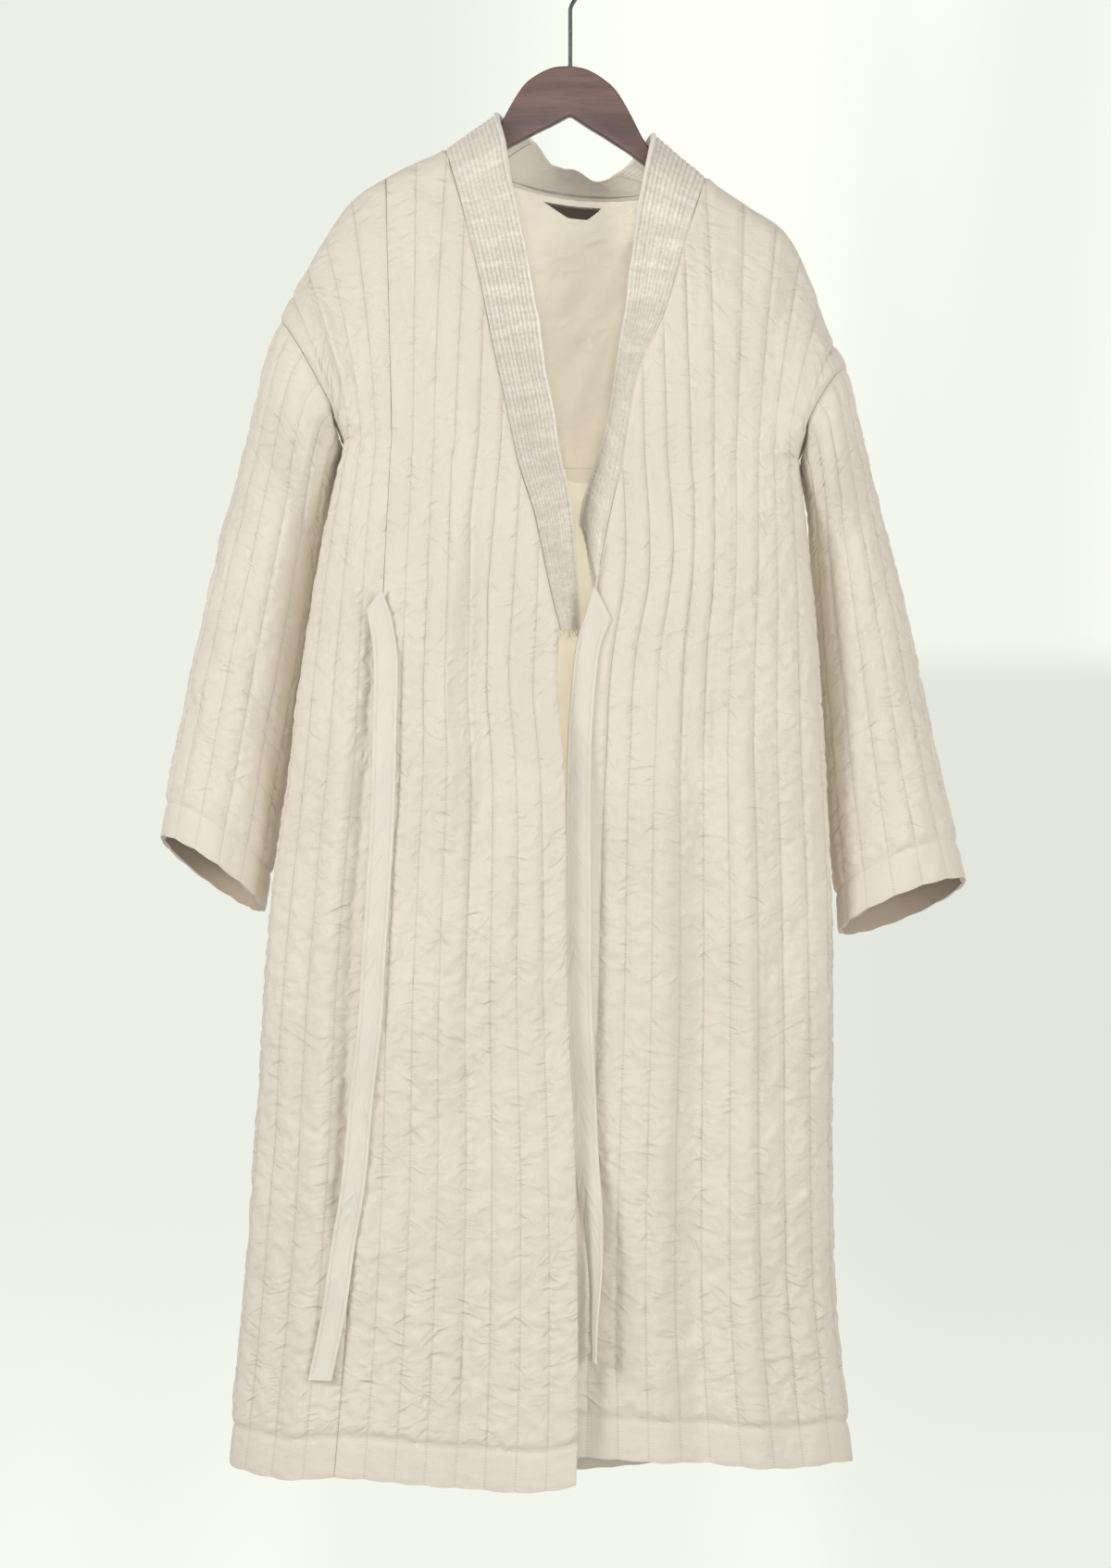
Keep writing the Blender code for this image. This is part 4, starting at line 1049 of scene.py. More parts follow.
def quilted_finish(name, colours, look):
    """Washed cotton with painted shadow in its needle holes and a little painted shade on each sewn line."""
    finish, tree, shader = new_finish(name)
    where = add(tree, "ShaderNodeUVMap", uv_map="cloth").outputs[0]
    sewn = add(tree, "ShaderNodeUVMap", uv_map="quilt").outputs[0]
    parts = add(tree, "ShaderNodeSeparateXYZ", {0: sewn})
    channel, run = parts.outputs[0], parts.outputs[1]
    off = maths(tree, "ABSOLUTE", maths(tree, "SUBTRACT", channel, maths(tree, "ROUND", channel)))
    beat = maths(tree, "PINGPONG", maths(tree, "DIVIDE", run, look.stitch_pitch), .5)
    # Painted shadow in the needle holes along each sewn line.
    hole_shadow = maths(tree, "MULTIPLY", fade(tree, off, .02, .045, 1, 0), fade(tree, beat, .12, .24, 1, 0))
    # Painted shade along each sewn line, where the cloth dips.
    shade = fade(tree, off, .0, .09, 1, 0)
    relief, woven = cloth_relief(tree, where, 1500, .0008)
    creased = fine_creases(tree, where, ((27, .08), (-24, .07), (50, .02), (4, .05)), 70)
    creased = maths(tree, "MULTIPLY", creased, fade(tree, off, .04, .5, 1, .45))
    above_hem = fade(tree, run, -HEM_DEPTH * MM - .009, -HEM_DEPTH * MM, 1, .2)
    creased = maths(tree, "MULTIPLY", creased, above_hem)
    relief = raise_by(tree, creased, .0010, relief)
    worn = speckle(tree, where, 9, 4, .6)
    slub = speckle(tree, where, 260, 2, .5, (1, .12, 1))
    tone = mixed(tree, fade(tree, worn, .3, .7), rgba(colours.quilt, .97), rgba(colours.quilt, 1.03))
    tone = mixed(tree, fade(tree, slub, .45, .8, 0, .25), tone, rgba(colours.quilt, 1.08))
    tone = mixed(tree, maths(tree, "MULTIPLY", woven, .12), tone, rgba(colours.weave_tone_and_painted_shade))
    # Painted shade on the sewn lines.
    tone = mixed(tree, maths(tree, "MULTIPLY", shade, .08), tone, rgba(colours.weave_tone_and_painted_shade))
    # Painted shadow in the needle holes.
    tone = mixed(tree, maths(tree, "MULTIPLY", hole_shadow, .26), tone, rgba(colours.weave_tone_and_painted_shade, .65))
    tree.links.new(tone, shader.inputs["Base Color"])
    tree.links.new(relief, shader.inputs["Normal"])
    soft_cloth(shader, .12)
    return finish


def plain_finish(name, colour, weave=1500, crumple=.0005, sheen=.1, creases=0.0):
    """Plain woven cloth with soft unevenness and a few creases."""
    finish, tree, shader = new_finish(name)
    where = add(tree, "ShaderNodeUVMap", uv_map="cloth").outputs[0]
    relief, woven = cloth_relief(tree, where, weave, crumple)
    if creases:
        creased = fine_creases(tree, where, ((20, .02), (-35, .02), (75, .0)), 42)
        relief = raise_by(tree, creased, creases, relief)
    worn = speckle(tree, where, 14, 4, .6)
    tone = mixed(tree, fade(tree, worn, .3, .7), rgba(colour, .95), rgba(colour, 1.04))
    tone = mixed(tree, maths(tree, "MULTIPLY", woven, .14), tone, rgba(colour, .72))
    tree.links.new(tone, shader.inputs["Base Color"])
    tree.links.new(relief, shader.inputs["Normal"])
    soft_cloth(shader, sheen)
    return finish


def ribbed_finish(name, colours):
    """Ribbed band: painted shade between ribs, a painted highlight on the welt at the free edge, rubbed pale
    in patches across them.
    """
    finish, tree, shader = new_finish(name)
    where = add(tree, "ShaderNodeUVMap", uv_map="cloth").outputs[0]
    ribs = add(tree, "ShaderNodeUVMap", uv_map="quilt").outputs[0]
    parts = add(tree, "ShaderNodeSeparateXYZ", {0: ribs})
    off = maths(tree, "PINGPONG", parts.outputs[0], .5)
    # Painted shade between the ribs.
    painted_rib_valley_shade = fade(tree, off, .0, .22, 1, 0)
    relief, woven = cloth_relief(tree, where, 1100, .0003)
    patch = speckle(tree, where, 26, 4, .65, (.45, 3.2, 1))
    nap = speckle(tree, where, 190, 3, .65, (1, 1.5, 1))
    tone = mixed(tree, fade(tree, patch, .4, .66), rgba(colours.rib, .92), rgba(colours.rib, 1.08))
    tone = mixed(tree, fade(tree, nap, .42, .68, 0, .42), tone, rgba(colours.rib_nap_and_painted_shade))
    tone = mixed(tree, maths(tree, "MULTIPLY", painted_rib_valley_shade, .34), tone, rgba(colours.rib_nap_and_painted_shade, .8))
    tone = mixed(tree, maths(tree, "MULTIPLY", woven, .15), tone, rgba(colours.rib_nap_and_painted_shade))
    # Painted highlight: the welt along the band's free edge is lightened as if lit.
    edge = fade(tree, parts.outputs[0], COLLAR_RIBS - .7, COLLAR_RIBS - .45)
    tone = mixed(tree, maths(tree, "MULTIPLY", edge, .8), tone, rgba(colours.rib, 1.12))
    relief = raise_by(tree, nap, .0004, relief)
    tree.links.new(tone, shader.inputs["Base Color"])
    tree.links.new(relief, shader.inputs["Normal"])
    soft_cloth(shader, .15)
    return finish


def wood_finish(name, colours):
    """Dark stained wood with long grain under satin lacquer."""
    finish, tree, shader = new_finish(name)
    where = add(tree, "ShaderNodeTexCoord").outputs["Object"]
    grain = speckle(tree, where, 60, 6, .65, (.10, 1.6, 1.0))
    pores = speckle(tree, where, 700, 2, .6, (.05, 1, 1))
    tone = mixed(tree, fade(tree, grain, .35, .65), rgba(colours.wood, .75), rgba(colours.wood, 1.35))
    tone = mixed(tree, fade(tree, pores, .55, .75, 0, .5), tone, rgba(colours.wood, .5))
    tree.links.new(tone, shader.inputs["Base Color"])
    tree.links.new(fade(tree, grain, .3, .7, .36, .5), shader.inputs["Roughness"])
    tree.links.new(raise_by(tree, pores, .00008), shader.inputs["Normal"])
    shader.inputs["Coat Weight"].default_value = .25
    shader.inputs["Coat Roughness"].default_value = .3
    return finish


def wire_finish(name, colours):
    """Dark drawn wire with faint scratches."""
    finish, tree, shader = new_finish(name)
    where = add(tree, "ShaderNodeTexCoord").outputs["Object"]
    rub = speckle(tree, where, 180, 4, .6)
    tone = mixed(tree, fade(tree, rub, .4, .7), rgba(colours.wire), rgba(colours.wire, 1.6))
    tree.links.new(tone, shader.inputs["Base Color"])
    tree.links.new(fade(tree, rub, .3, .7, .3, .48), shader.inputs["Roughness"])
    shader.inputs["Metallic"].default_value = .7
    return finish


def thread_finish(name, colour):
    """Twisted sewing thread."""
    finish, tree, shader = new_finish(name)
    where = add(tree, "ShaderNodeTexCoord").outputs["Object"]
    twist = speckle(tree, where, 2600, 1, .5)
    tone = mixed(tree, twist, rgba(colour, .85), rgba(colour, 1.08))
    tree.links.new(tone, shader.inputs["Base Color"])
    soft_cloth(shader, .1)
    return finish


def dress(piece, node):
    """Put a finished piece in place of its solid."""
    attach(piece, "root")
    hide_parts(node)


def declare_cloth(base, closed=False, flat=None):
    """Work out the flat width and length of a cloth piece from its own unpuckered points, and keep neither.
    """
    ring = np.concatenate([base, base[:, :1]], 1) if closed else base
    rows = across_rows(ring)[:, -1]
    wide = rows.max() if closed else rows[len(rows) // 2:].max()
    long = along_columns(ring)[-1].max()
    wide, long = flat or (wide, long)


def cloth_places(base, closed):
    """Places on the cloth in metres up from its hem, and in channels and metres."""
    ring = np.concatenate([base, base[:, :1]], 1) if closed else base
    run = along_columns(ring) * MM
    run = run - run[-1]
    mean = across_rows(ring)[-4 * FINE_HEM:].mean(0) * MM
    channel = np.arange(ring.shape[1]) / FINE_CHANNEL
    cloth = np.stack([np.broadcast_to(mean, run.shape), run], 2)
    quilt = np.stack([np.broadcast_to(channel, run.shape), run], 2)
    return cloth, quilt


def press_creases(high, base, creases):
    """Add listed troughs (-) and ridges (+), given by place and lie."""
    for crease in creases:
        x, drop, long, wide, lean, out = crease
        turn = math.radians(lean)
        dx = base[..., 0] - x
        dd = base[..., 2] - drop
        along = dx * math.sin(turn) + dd * math.cos(turn)
        over = dx * math.cos(turn) - dd * math.sin(turn)
        bow = over + along**2 / (6 * long)
        high = high + out * np.exp(-(along / long) ** 2 - (bow / wide) ** 2)
    return high


def spare_cloth(base, seed):
    """Share of spare cloth: little at the shoulders or where rows slant, and uneven."""
    across, down = np.gradient(base, axis=1), np.gradient(base, axis=0)
    square = np.linalg.norm(np.cross(across, down), axis=2)
    square /= np.linalg.norm(across, axis=2) * np.linalg.norm(down, axis=2)
    patch = np.array([[noise.noise(Vector((p[0] * .016, p[1] * .016 + seed, p[2] * .011)))
                       for p in row] for row in base])
    low = np.clip((base[..., 2] - SMOOTH_TO) / (PUCKERED_FROM - SMOOTH_TO), 0, 1)
    spare = SMOOTH_SPARE + (1 - SMOOTH_SPARE) * low
    return np.clip(spare * (.82 + .5 * patch), 0, 1) * np.clip(square, 0, 1) ** 4


def quilt_up(base, way, look, seed, closed=False, creases=()):
    """Outer points of a quilted piece over its plain inside."""
    hem_row = len(base) - 1 - FINE_HEM
    rng = np.random.default_rng(seed)
    high = loft(base, look, hem_row, closed)
    free = np.ones(base.shape[:2], bool)
    free[:, ::FINE_CHANNEL] = False
    free[[0, hem_row, -1]] = False
    if not closed:
        free[:, -1] = False
    uneven = rng.normal(0, look.unevenness / MM, high.shape)
    uneven = (uneven + np.roll(uneven, 1, 0) + np.roll(uneven, 1, 1)) / 2
    spare = spare_cloth(base, seed)
    spare[hem_row:] *= HEM_SPARE
    start = base + way * (high + uneven * free * spare)[..., None]
    moved = sewn_cloth(start, ~free, spare, look, closed) - start
    rise = np.clip((moved * way).sum(2), -look.pucker_in / MM, look.pucker_out / MM)
    slip = moved - (moved * way).sum(2)[..., None] * way
    far = np.linalg.norm(slip, axis=2, keepdims=True)
    slip *= np.minimum(1, look.pucker_slip / MM / np.maximum(far, 1e-6))
    lowest = base + way * LEAST_WALL
    start = start + slip + way * rise[..., None]
    thin = np.maximum(0, ((lowest - start) * way).sum(2))
    start = start + way * thin[..., None]
    return start + way * press_creases(np.zeros(high.shape), base, creases)[..., None]


def stitch_tree():
    """Stitches set end to end along paths."""
    tree = bpy.data.node_groups.new("stitches", "GeometryNodeTree")
    face = tree.interface
    face.new_socket("Geometry", in_out="INPUT", socket_type="NodeSocketGeometry")
    for name in ("Pitch", "Length", "Width"):
        face.new_socket(name, in_out="INPUT", socket_type="NodeSocketFloat")
    face.new_socket("Thread", in_out="INPUT", socket_type="NodeSocketMaterial")
    face.new_socket("Geometry", in_out="OUTPUT", socket_type="NodeSocketGeometry")
    given = add(tree, "NodeGroupInput").outputs
    path = add(tree, "GeometryNodeMeshToCurve", {0: given["Geometry"]})
    even = add(tree, "GeometryNodeResampleCurve", {"Curve": path.outputs[0],
                                                  "Length": given["Pitch"]}, mode="LENGTH")
    lie = add(tree, "GeometryNodeInputTangent")
    turn = add(tree, "FunctionNodeAlignRotationToVector", {"Vector": lie.outputs[0]}, axis="Z")
    stitch = add(tree, "GeometryNodeMeshCylinder", {
        "Vertices": 4, "Radius": .5, "Depth": 1.0}, fill_type="NGON")
    vary = add(tree, "FunctionNodeRandomValue", {2: .8, 3: 1.15, "Seed": 7}, data_type="FLOAT")
    long = add(tree, "ShaderNodeMath", {0: given["Length"], 1: vary.outputs[1]},
               operation="MULTIPLY").outputs[0]
    size = add(tree, "ShaderNodeCombineXYZ", {0: given["Width"], 1: given["Width"], 2: long})
    placed = add(tree, "GeometryNodeInstanceOnPoints", {
        "Points": even.outputs[0], "Instance": stitch.outputs[0],
        "Rotation": turn.outputs[0], "Scale": size.outputs[0]})
    real = add(tree, "GeometryNodeRealizeInstances", {0: placed.outputs[0]})
    coloured = add(tree, "GeometryNodeSetMaterial", {0: real.outputs[0],
                                                    "Material": given["Thread"]})
    add(tree, "NodeGroupOutput", {0: coloured.outputs[0]})
    return tree


def stitch_along(name, paths, pitch, length, width, thread):
    """One mesh of stitches along all the paths."""
    mesh = bpy.data.meshes.new(name + "_paths")
    edges = []
    count = 0
    for path in paths:
        edges += [(count + i, count + i + 1) for i in range(len(path) - 1)]
        count += len(path)
    mesh.from_pydata(np.concatenate(paths), edges, [])
    lines = bpy.data.objects.new(name + "_paths", mesh)
    bpy.context.scene.collection.objects.link(lines)
    tree = bpy.data.node_groups.get("stitches") or stitch_tree()
    sew = lines.modifiers.new("stitches", "NODES")
    sew.node_group = tree
    values = {"Pitch": pitch, "Length": length, "Width": width, "Thread": thread}
    for item in tree.interface.items_tree:
        if item.in_out == "INPUT" and item.name in values:
            sew[item.identifier] = values[item.name]
    graph = bpy.context.evaluated_depsgraph_get()
    made = bpy.data.meshes.new_from_object(lines.evaluated_get(graph))
    made.name = name
    bpy.data.objects.remove(lines)
    piece = bpy.data.objects.new(name, made)
    bpy.context.scene.collection.objects.link(piece)
    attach(piece, "root")
    return piece


MADE = {}


def finish_of(name):
    """A named finish, made when it is first asked for."""
    found = bpy.data.materials.get(name)
    if found:
        return found
    scene = bpy.context.scene
    colours, look = scene.coat_colours, scene.coat_quilting
    makers = {
        "quilted_cotton": lambda: quilted_finish(name, colours, look),
        "inner_cotton": lambda: plain_finish(name, colours.plain),
        "sleeve_inside_painted_shade": lambda: plain_finish(name, colours.sleeve_inside_painted_shade),
        "facing_cotton": lambda: plain_finish(name, colours.facing, 1200, .0010, .1, .0005),
        "yoke_cotton": lambda: plain_finish(name, colours.plain, 1200, .0013, .1, .0009),
        "lining_cloth": lambda: plain_finish(name, colours.lining, 1800, .0005, .2),
        "tie_cloth": lambda: plain_finish(name, colours.tie, 1300, .0005, .1, .0004),
        "label_tape": lambda: plain_finish(name, colours.label, 900, .0002),
        "ribbed_cloth": lambda: ribbed_finish(name, colours),
        "stained_wood": lambda: wood_finish(name, colours),
        "dark_wire": lambda: wire_finish(name, colours),
        "sewing_thread": lambda: thread_finish(name, colours.thread),
        "tack_thread": lambda: thread_finish(name, colours.tack)}
    return makers[name]()


def scalloped(base):
    """Draw the bottom edge up a little at each sewn line."""
    share = np.arange(base.shape[1]) % FINE_CHANNEL / FINE_CHANNEL
    run = along_columns(base)
    near = np.exp(-((run[-1] - run) / SCALLOP_UP) ** 2)
    lift = SCALLOP * near * (1 - np.sin(math.pi * share))
    return base - unit(base[-1] - base[-2]) * lift[..., None]


def quilted_piece(name, node, base, way, seed, closed=False):
    look = bpy.context.scene.coat_quilting
    base = scalloped(base)
    outer = quilt_up(base, way, look, seed, closed, CREASES.get(node, ()))
    cloth, quilt = cloth_places(base, closed)
    step = (PLAIN_STEP, PLAIN_STEP)
    plain = base[::PLAIN_STEP, ::PLAIN_STEP].copy()
    if closed:
        plain[:, 1::2] -= INNER_LOFT * way[::PLAIN_STEP, PLAIN_STEP::2 * PLAIN_STEP]
    # The sleeves' inside takes painted shade: a darker colour for the shadow inside the cuffs.
    inside = finish_of("sleeve_inside_painted_shade" if closed else "inner_cotton")
    piece = wall(name, plain, outer, step, [finish_of("quilted_cotton"), inside], cloth, quilt,
                 closed)
    dress(piece, node)
    declare_cloth(base, closed=closed)
    MADE[node] = dict(piece=piece, base=base, way=way, outer=outer)


class COAT_OT_body(bpy.types.Operator):
    """Quilt the two fronts and the back"""
    bl_idname = "coat.body"
    bl_label = "Quilted body"

    def execute(self, context):
        grids, _ = coat_grids()
        cut = SIDE_CHANNELS * FINE_CHANNEL
        counts = {"right": SIDE_CHANNELS + CENTRE_CHANNELS, "left": LEFT_CHANNELS,
                  "back": BACK_CHANNELS}
        slides = {"right": ((0, cut, 13 * FINE_CHANNEL),),
                  "left": ((0, 4 * FINE_CHANNEL, 11 * FINE_CHANNEL),),
                  "back": ((0, 4 * FINE_CHANNEL, 12 * FINE_CHANNEL),
                           (12 * FINE_CHANNEL, 20 * FINE_CHANNEL, 24 * FINE_CHANNEL))}
        fine = {}
        for panel, count in counts.items():
            both = [spread(g, BODY_PLACES, channel_places(count)) for g in grids[panel]]
            both = np.concatenate(both, 2)
            for slide in slides[panel]:
                both = straighten(both, *slide)
            fine[panel] = both[..., :3], unit(both[..., 3:])
        spans = (("front_right_side", "right", 0, cut + 1, True),
                 ("front_right", "right", cut, None, False),
                 ("front_left", "left", 0, None, False), ("back", "back", 0, None, True))
        for seed, (node, panel, start, stop, last) in enumerate(spans):
            base, way = (g[:, start:stop] for g in fine[panel])
            base = sew_back(base, True, True, last)
            quilted_piece(node + "_cloth", node, base, way, seed + 3)
        return {"FINISHED"}


class COAT_OT_sleeves(bpy.types.Operator):
    """Quilt the two sleeves"""
    bl_idname = "coat.sleeves"
    bl_label = "Sleeves"

    def execute(self, context):
        for node, side in (("sleeve_right", RIGHT), ("sleeve_left", LEFT)):
            places = channel_places(SLEEVE_CHANNELS)[:-1]
            base, way = (spread(g, SLEEVE_PLACES, places, True) for g in sleeve_grid(side))
            quilted_piece(node + "_cloth", node, base, unit(way), 20 + side, True)
        return {"FINISHED"}


class COAT_OT_collar(bpy.types.Operator):
    """Make the ribbed collar band and the plain facing inside it"""
    bl_idname = "coat.collar"
    bl_label = "Collar"

    def execute(self, context):
        _, (seam, free, normal, at_seam) = coat_grids()
        clear = np.array([GAP * (1.2 + 2.5 * ease((d - 330) / 40)) for d in seam[:, 2]])
        low = seam + clear[:, None] * unit(free - seam)
        rows = (len(seam) - 1) * COLLAR_FINE
        places = np.linspace(0, len(seam) - 1, rows + 1)
        ends = spread(np.stack([low, free, normal, at_seam], 1), places, np.arange(4.0))
        low, free, normal, at_seam = (ends[:, k] for k in range(4))
        for point in free:
            if point[1] > 5:
                sag = NECK_SAG.at("down", point[0]) + 1.5 * noise.noise(Vector((point[0] * .09, 2, 0)))
                point += (0, .4 * sag, sag)
        columns = COLLAR_RIBS * RIB_FINE
        across = np.linspace(0, 1, columns + 1)
        lead = np.array([ease(1 - 4 * t) for t in across])[None, :, None]
        way = unit(unit(normal)[:, None] * (1 - lead) + unit(at_seam)[:, None] * lead)
        base = low[:, None] * (1 - across[None, :, None]) + free[:, None] * across[None, :, None]
        base = self.shaped_ends(base, across)
        run = along_columns(base)
        loose = np.array([noise.noise(Vector((r * .021, 6.0, 0))) + .5 * noise.noise(Vector((r * .07, 1, 0)))
                          for r in run.mean(1)])
        base = base + unit(free - low)[:, None] * (across[None] ** 3 * loose[:, None] * EDGE_LOOSE)[..., None]
        wobble = np.array([[noise.noise(Vector((r * .02, c * .15, 3.0))) for c in range(0, columns + 1)]
                           for r in run.mean(1)])
        ribs = np.abs(np.sin(math.pi * COLLAR_RIBS * (across[None] + wobble * RIB_WANDER))) ** .75
        plain = np.clip((1 - across) / .05, 0, 1)[None]
        welt = RIB_WELT * np.exp(-((across - .968) / .022) ** 2)[None]
        high = RIB_LOW + (RIB_HIGH - RIB_LOW) * ribs * plain * (1 + .6 * wobble) + welt
        creases = np.array([[noise.noise(Vector((r * .06, c * .02, 9.0))) for c in range(0, columns + 1)]
                            for r in run.mean(1)])
        high = high + .7 * creases * np.sin(math.pi * across)[None]
        outer = base + way * high[..., None]
        cloth = np.stack([np.broadcast_to(across * COLLAR_WIDTH * MM, run.shape),
                          np.broadcast_to(run.mean(1)[:, None] * MM, run.shape)], 2)
        quilt = np.stack([np.broadcast_to(across * COLLAR_RIBS, run.shape), cloth[..., 1]], 2)
        step = (COLLAR_FINE, columns // 4)
        piece = wall("collar_band", base[::step[0], ::step[1]], outer, step,
                     [finish_of("ribbed_cloth")], cloth, quilt)
        dress(piece, "collar")
        declare_cloth(base, flat=(COLLAR_WIDTH, run[-1].max()))
        MADE["collar"] = dict(piece=piece, base=base, way=way, outer=outer)
        self.facing(base, way)
        return {"FINISHED"}

    def shaped_ends(self, base, across):
        """Cut the left front's end of the band on a slant."""
        rows = np.arange(len(base), dtype=float)
        start = len(base) - 1 - END_ROWS
        length = np.linalg.norm(base[-1, -1] - base[start, -1])
        shaped = base.copy()
        for c, t in enumerate(across):
            keep = 1 - END_SLANT / length * t ** 1.4
            at = np.where(rows > start, start + (rows - start) * keep, rows)
            shaped[:, c] = np.stack([np.interp(at, rows, part) for part in base[:, c].T], 1)
        return shaped

    def facing(self, base, way):
        """Plain crumpled cloth inside the back of the collar."""
        middle = len(base) // 2
        half = FACING_HALF * COLLAR_FINE
        least, most = (corner[0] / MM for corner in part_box("collar_facing"))
        near = np.arange(middle - half, middle + half + 1)
        near = near[(base[near, :, 0].min(1) > least) & (base[near, :, 0].max(1) < most)]
        inside = base[near, ::RIB_FINE]
        out = way[near, ::RIB_FINE]
        across = unit(inside[:, -1:] - inside[:, :1])
        inside = inside.copy()
        inside[:, 0] += 1.5 * across[:, 0]
        inside[:, -1] -= 1.5 * across[:, 0]
        fine = spread(np.concatenate([inside, out], 2), np.arange(0, len(inside) - .9, .5),
                      np.arange(0, inside.shape[1] - .9, .5))
        inside, out = fine[..., :3], unit(fine[..., 3:])
        crumple = np.array([[abs(noise.noise(Vector(p * (.05, .05, .028)))) for p in row] for row in inside])
        fall = np.array([[noise.noise(Vector((p[0] * .03, 4.0, 1.0))) for p in row] for row in inside])
        edge = np.linspace(0, 1, inside.shape[1])[None] ** 2
        back = inside - out * 3 * GAP
        seen = back - out * (THIN + 2.6 * crumple)[..., None]
        drop = np.zeros_like(seen)
        drop[..., 2] = edge * (2.0 + 3.0 * fall)
        cloth = np.stack([across_rows(seen), along_columns(seen)], 2) * MM
        piece = wall("collar_facing_cloth", back + drop, seen + drop, (1, 1),
                     [finish_of("facing_cotton")], cloth)
        dress(piece, "collar_facing")
        declare_cloth(back)
        MADE["collar_facing"] = dict(piece=piece, base=back, way=-out, outer=seen + drop)


def crumpled(points, scale, seed):
    """Soft unevenness over a grid of points, from 0 to 1."""
    return np.array([[.5 + .5 * noise.fractal(Vector((p[0] * scale[0], p[1] * scale[1] + seed,
                                                     p[2] * scale[2])), 1.0, 2.0, 3)
                      for p in row] for row in points]).clip(0, 1)


class COAT_OT_inside(bpy.types.Operator):
    """Make the yoke facing, the lining and the bare label inside the back"""
    bl_idname = "coat.inside"
    bl_label = "Inside of the back"

    def execute(self, context):
        base, way = MADE["back"]["base"], MADE["back"]["way"]
        first = round(NECK_BACK * BACK_CHANNELS) * FINE_CHANNEL
        foot = FINE_ARM + YOKE_PAST
        yoke = base[1:foot + 1:2, first:-first:2]
        out = way[1:foot + 1:2, first:-first:2].copy()
        out[0] = out[1]
        self.inner_cloth("back_yoke", "yoke_cotton", "plain", yoke, out, 2 * GAP, 2.2, (.02, .02, .035), 1.0)
        hem = len(base) - 1 - FINE_HEM
        span = slice(foot - 4, hem + 1, 4)
        lining = base[span, ::4].copy()
        out = way[span, ::4].copy()
        for edge, other in ((0, 1), (-1, -2)):
            lining[:, edge] += 2.0 * unit(lining[:, other] - lining[:, edge])
            out[:, edge] = out[:, other]
        self.inner_cloth("back_lining", "lining_cloth", "lining", lining, out, 5 * GAP, 4.5,
                         (.03, .03, .006))
        self.label()
        return {"FINISHED"}

    def inner_cloth(self, node, finish, slot, points, way, off, deep, scale, folded=0.0):
        hidden = points - way * off
        rough = press_creases(deep * crumpled(points, scale, 2.0), points, CREASES[node])
        edge = np.minimum(np.arange(len(points)), 6)[:, None] / 6
        fold = np.where(np.arange(len(points)) >= len(points) - YOKE_FOLD_ROWS, folded, 0)[:, None]
        seen = hidden - way * (THIN + fold + np.maximum(rough, 0) * edge)[..., None]
        cloth = np.stack([across_rows(seen), along_columns(seen)], 2) * MM
        piece = wall(node + "_cloth", hidden, seen, (1, 1), [finish_of(finish)], cloth)
        dress(piece, node)
        declare_cloth(hidden)
        MADE[node] = dict(piece=piece, base=hidden, way=-way, outer=seen)

    def label(self):
        """Leaf-shaped label that lies on the yoke, its top edge in the neck seam."""
        cloth, way = MADE["back_yoke"]["outer"], MADE["back_yoke"]["way"]
        columns, rows = np.arange(cloth.shape[1]), np.arange(cloth.shape[0])
        run = along_columns(cloth)
        back, out = [], []
        for t in np.linspace(0, 1, 13):
            left = LABEL_LEFT + LABEL_CUT[0] * t
            right = LABEL_LEFT + LABEL_WIDE - LABEL_CUT[1] * t ** 1.2
            for x in np.linspace(left, right, 41):
                c = np.interp(x, cloth[3, :, 0], columns)
                near = int(c)
                r = np.interp(LABEL_TALL * t + LABEL_DOWN, run[:, near], rows)
                place, ways = (spread(g, np.array([r]), np.array([c]))[0, 0] for g in (cloth, way))
                back.append(place + unit(ways) * .35)
                out.append(unit(ways))
        back, out = (np.array(g).reshape(13, 41, 3) for g in (back, out))
        seen = back + out * .6
        places = np.stack([across_rows(seen), along_columns(seen)], 2) * MM
        piece = wall("bare_label", back, seen, (1, 1), [finish_of("label_tape")], places)
        dress(piece, "label")
        declare_cloth(back, flat=(LABEL_WIDE, LABEL_TALL))
        MADE["label"] = dict(piece=piece, base=back, way=out, outer=seen)


def mesh_tree(nodes):
    """Search tree over the finished meshes of some nodes."""
    points, faces = [], []
    for node in nodes:
        outer = to_world(MADE[node]["outer"])
        quads, _, _ = grid_quads(*outer.shape[:2], False)
        faces += (quads + len(points)).tolist()
        points += [tuple(p) for p in outer.reshape(-1, 3)]
    return BVHTree.FromPolygons(points, faces)


def foremost(tree, x, drop):
    """Depth of the cloth seen from the front at a place, in millimetres."""
    start = Vector((x * MM, -.4, -(drop + HOOK_RISE) * MM))
    hit = tree.ray_cast(start, Vector((0, 1, 0)))[0]
    return hit.y / MM if hit else None


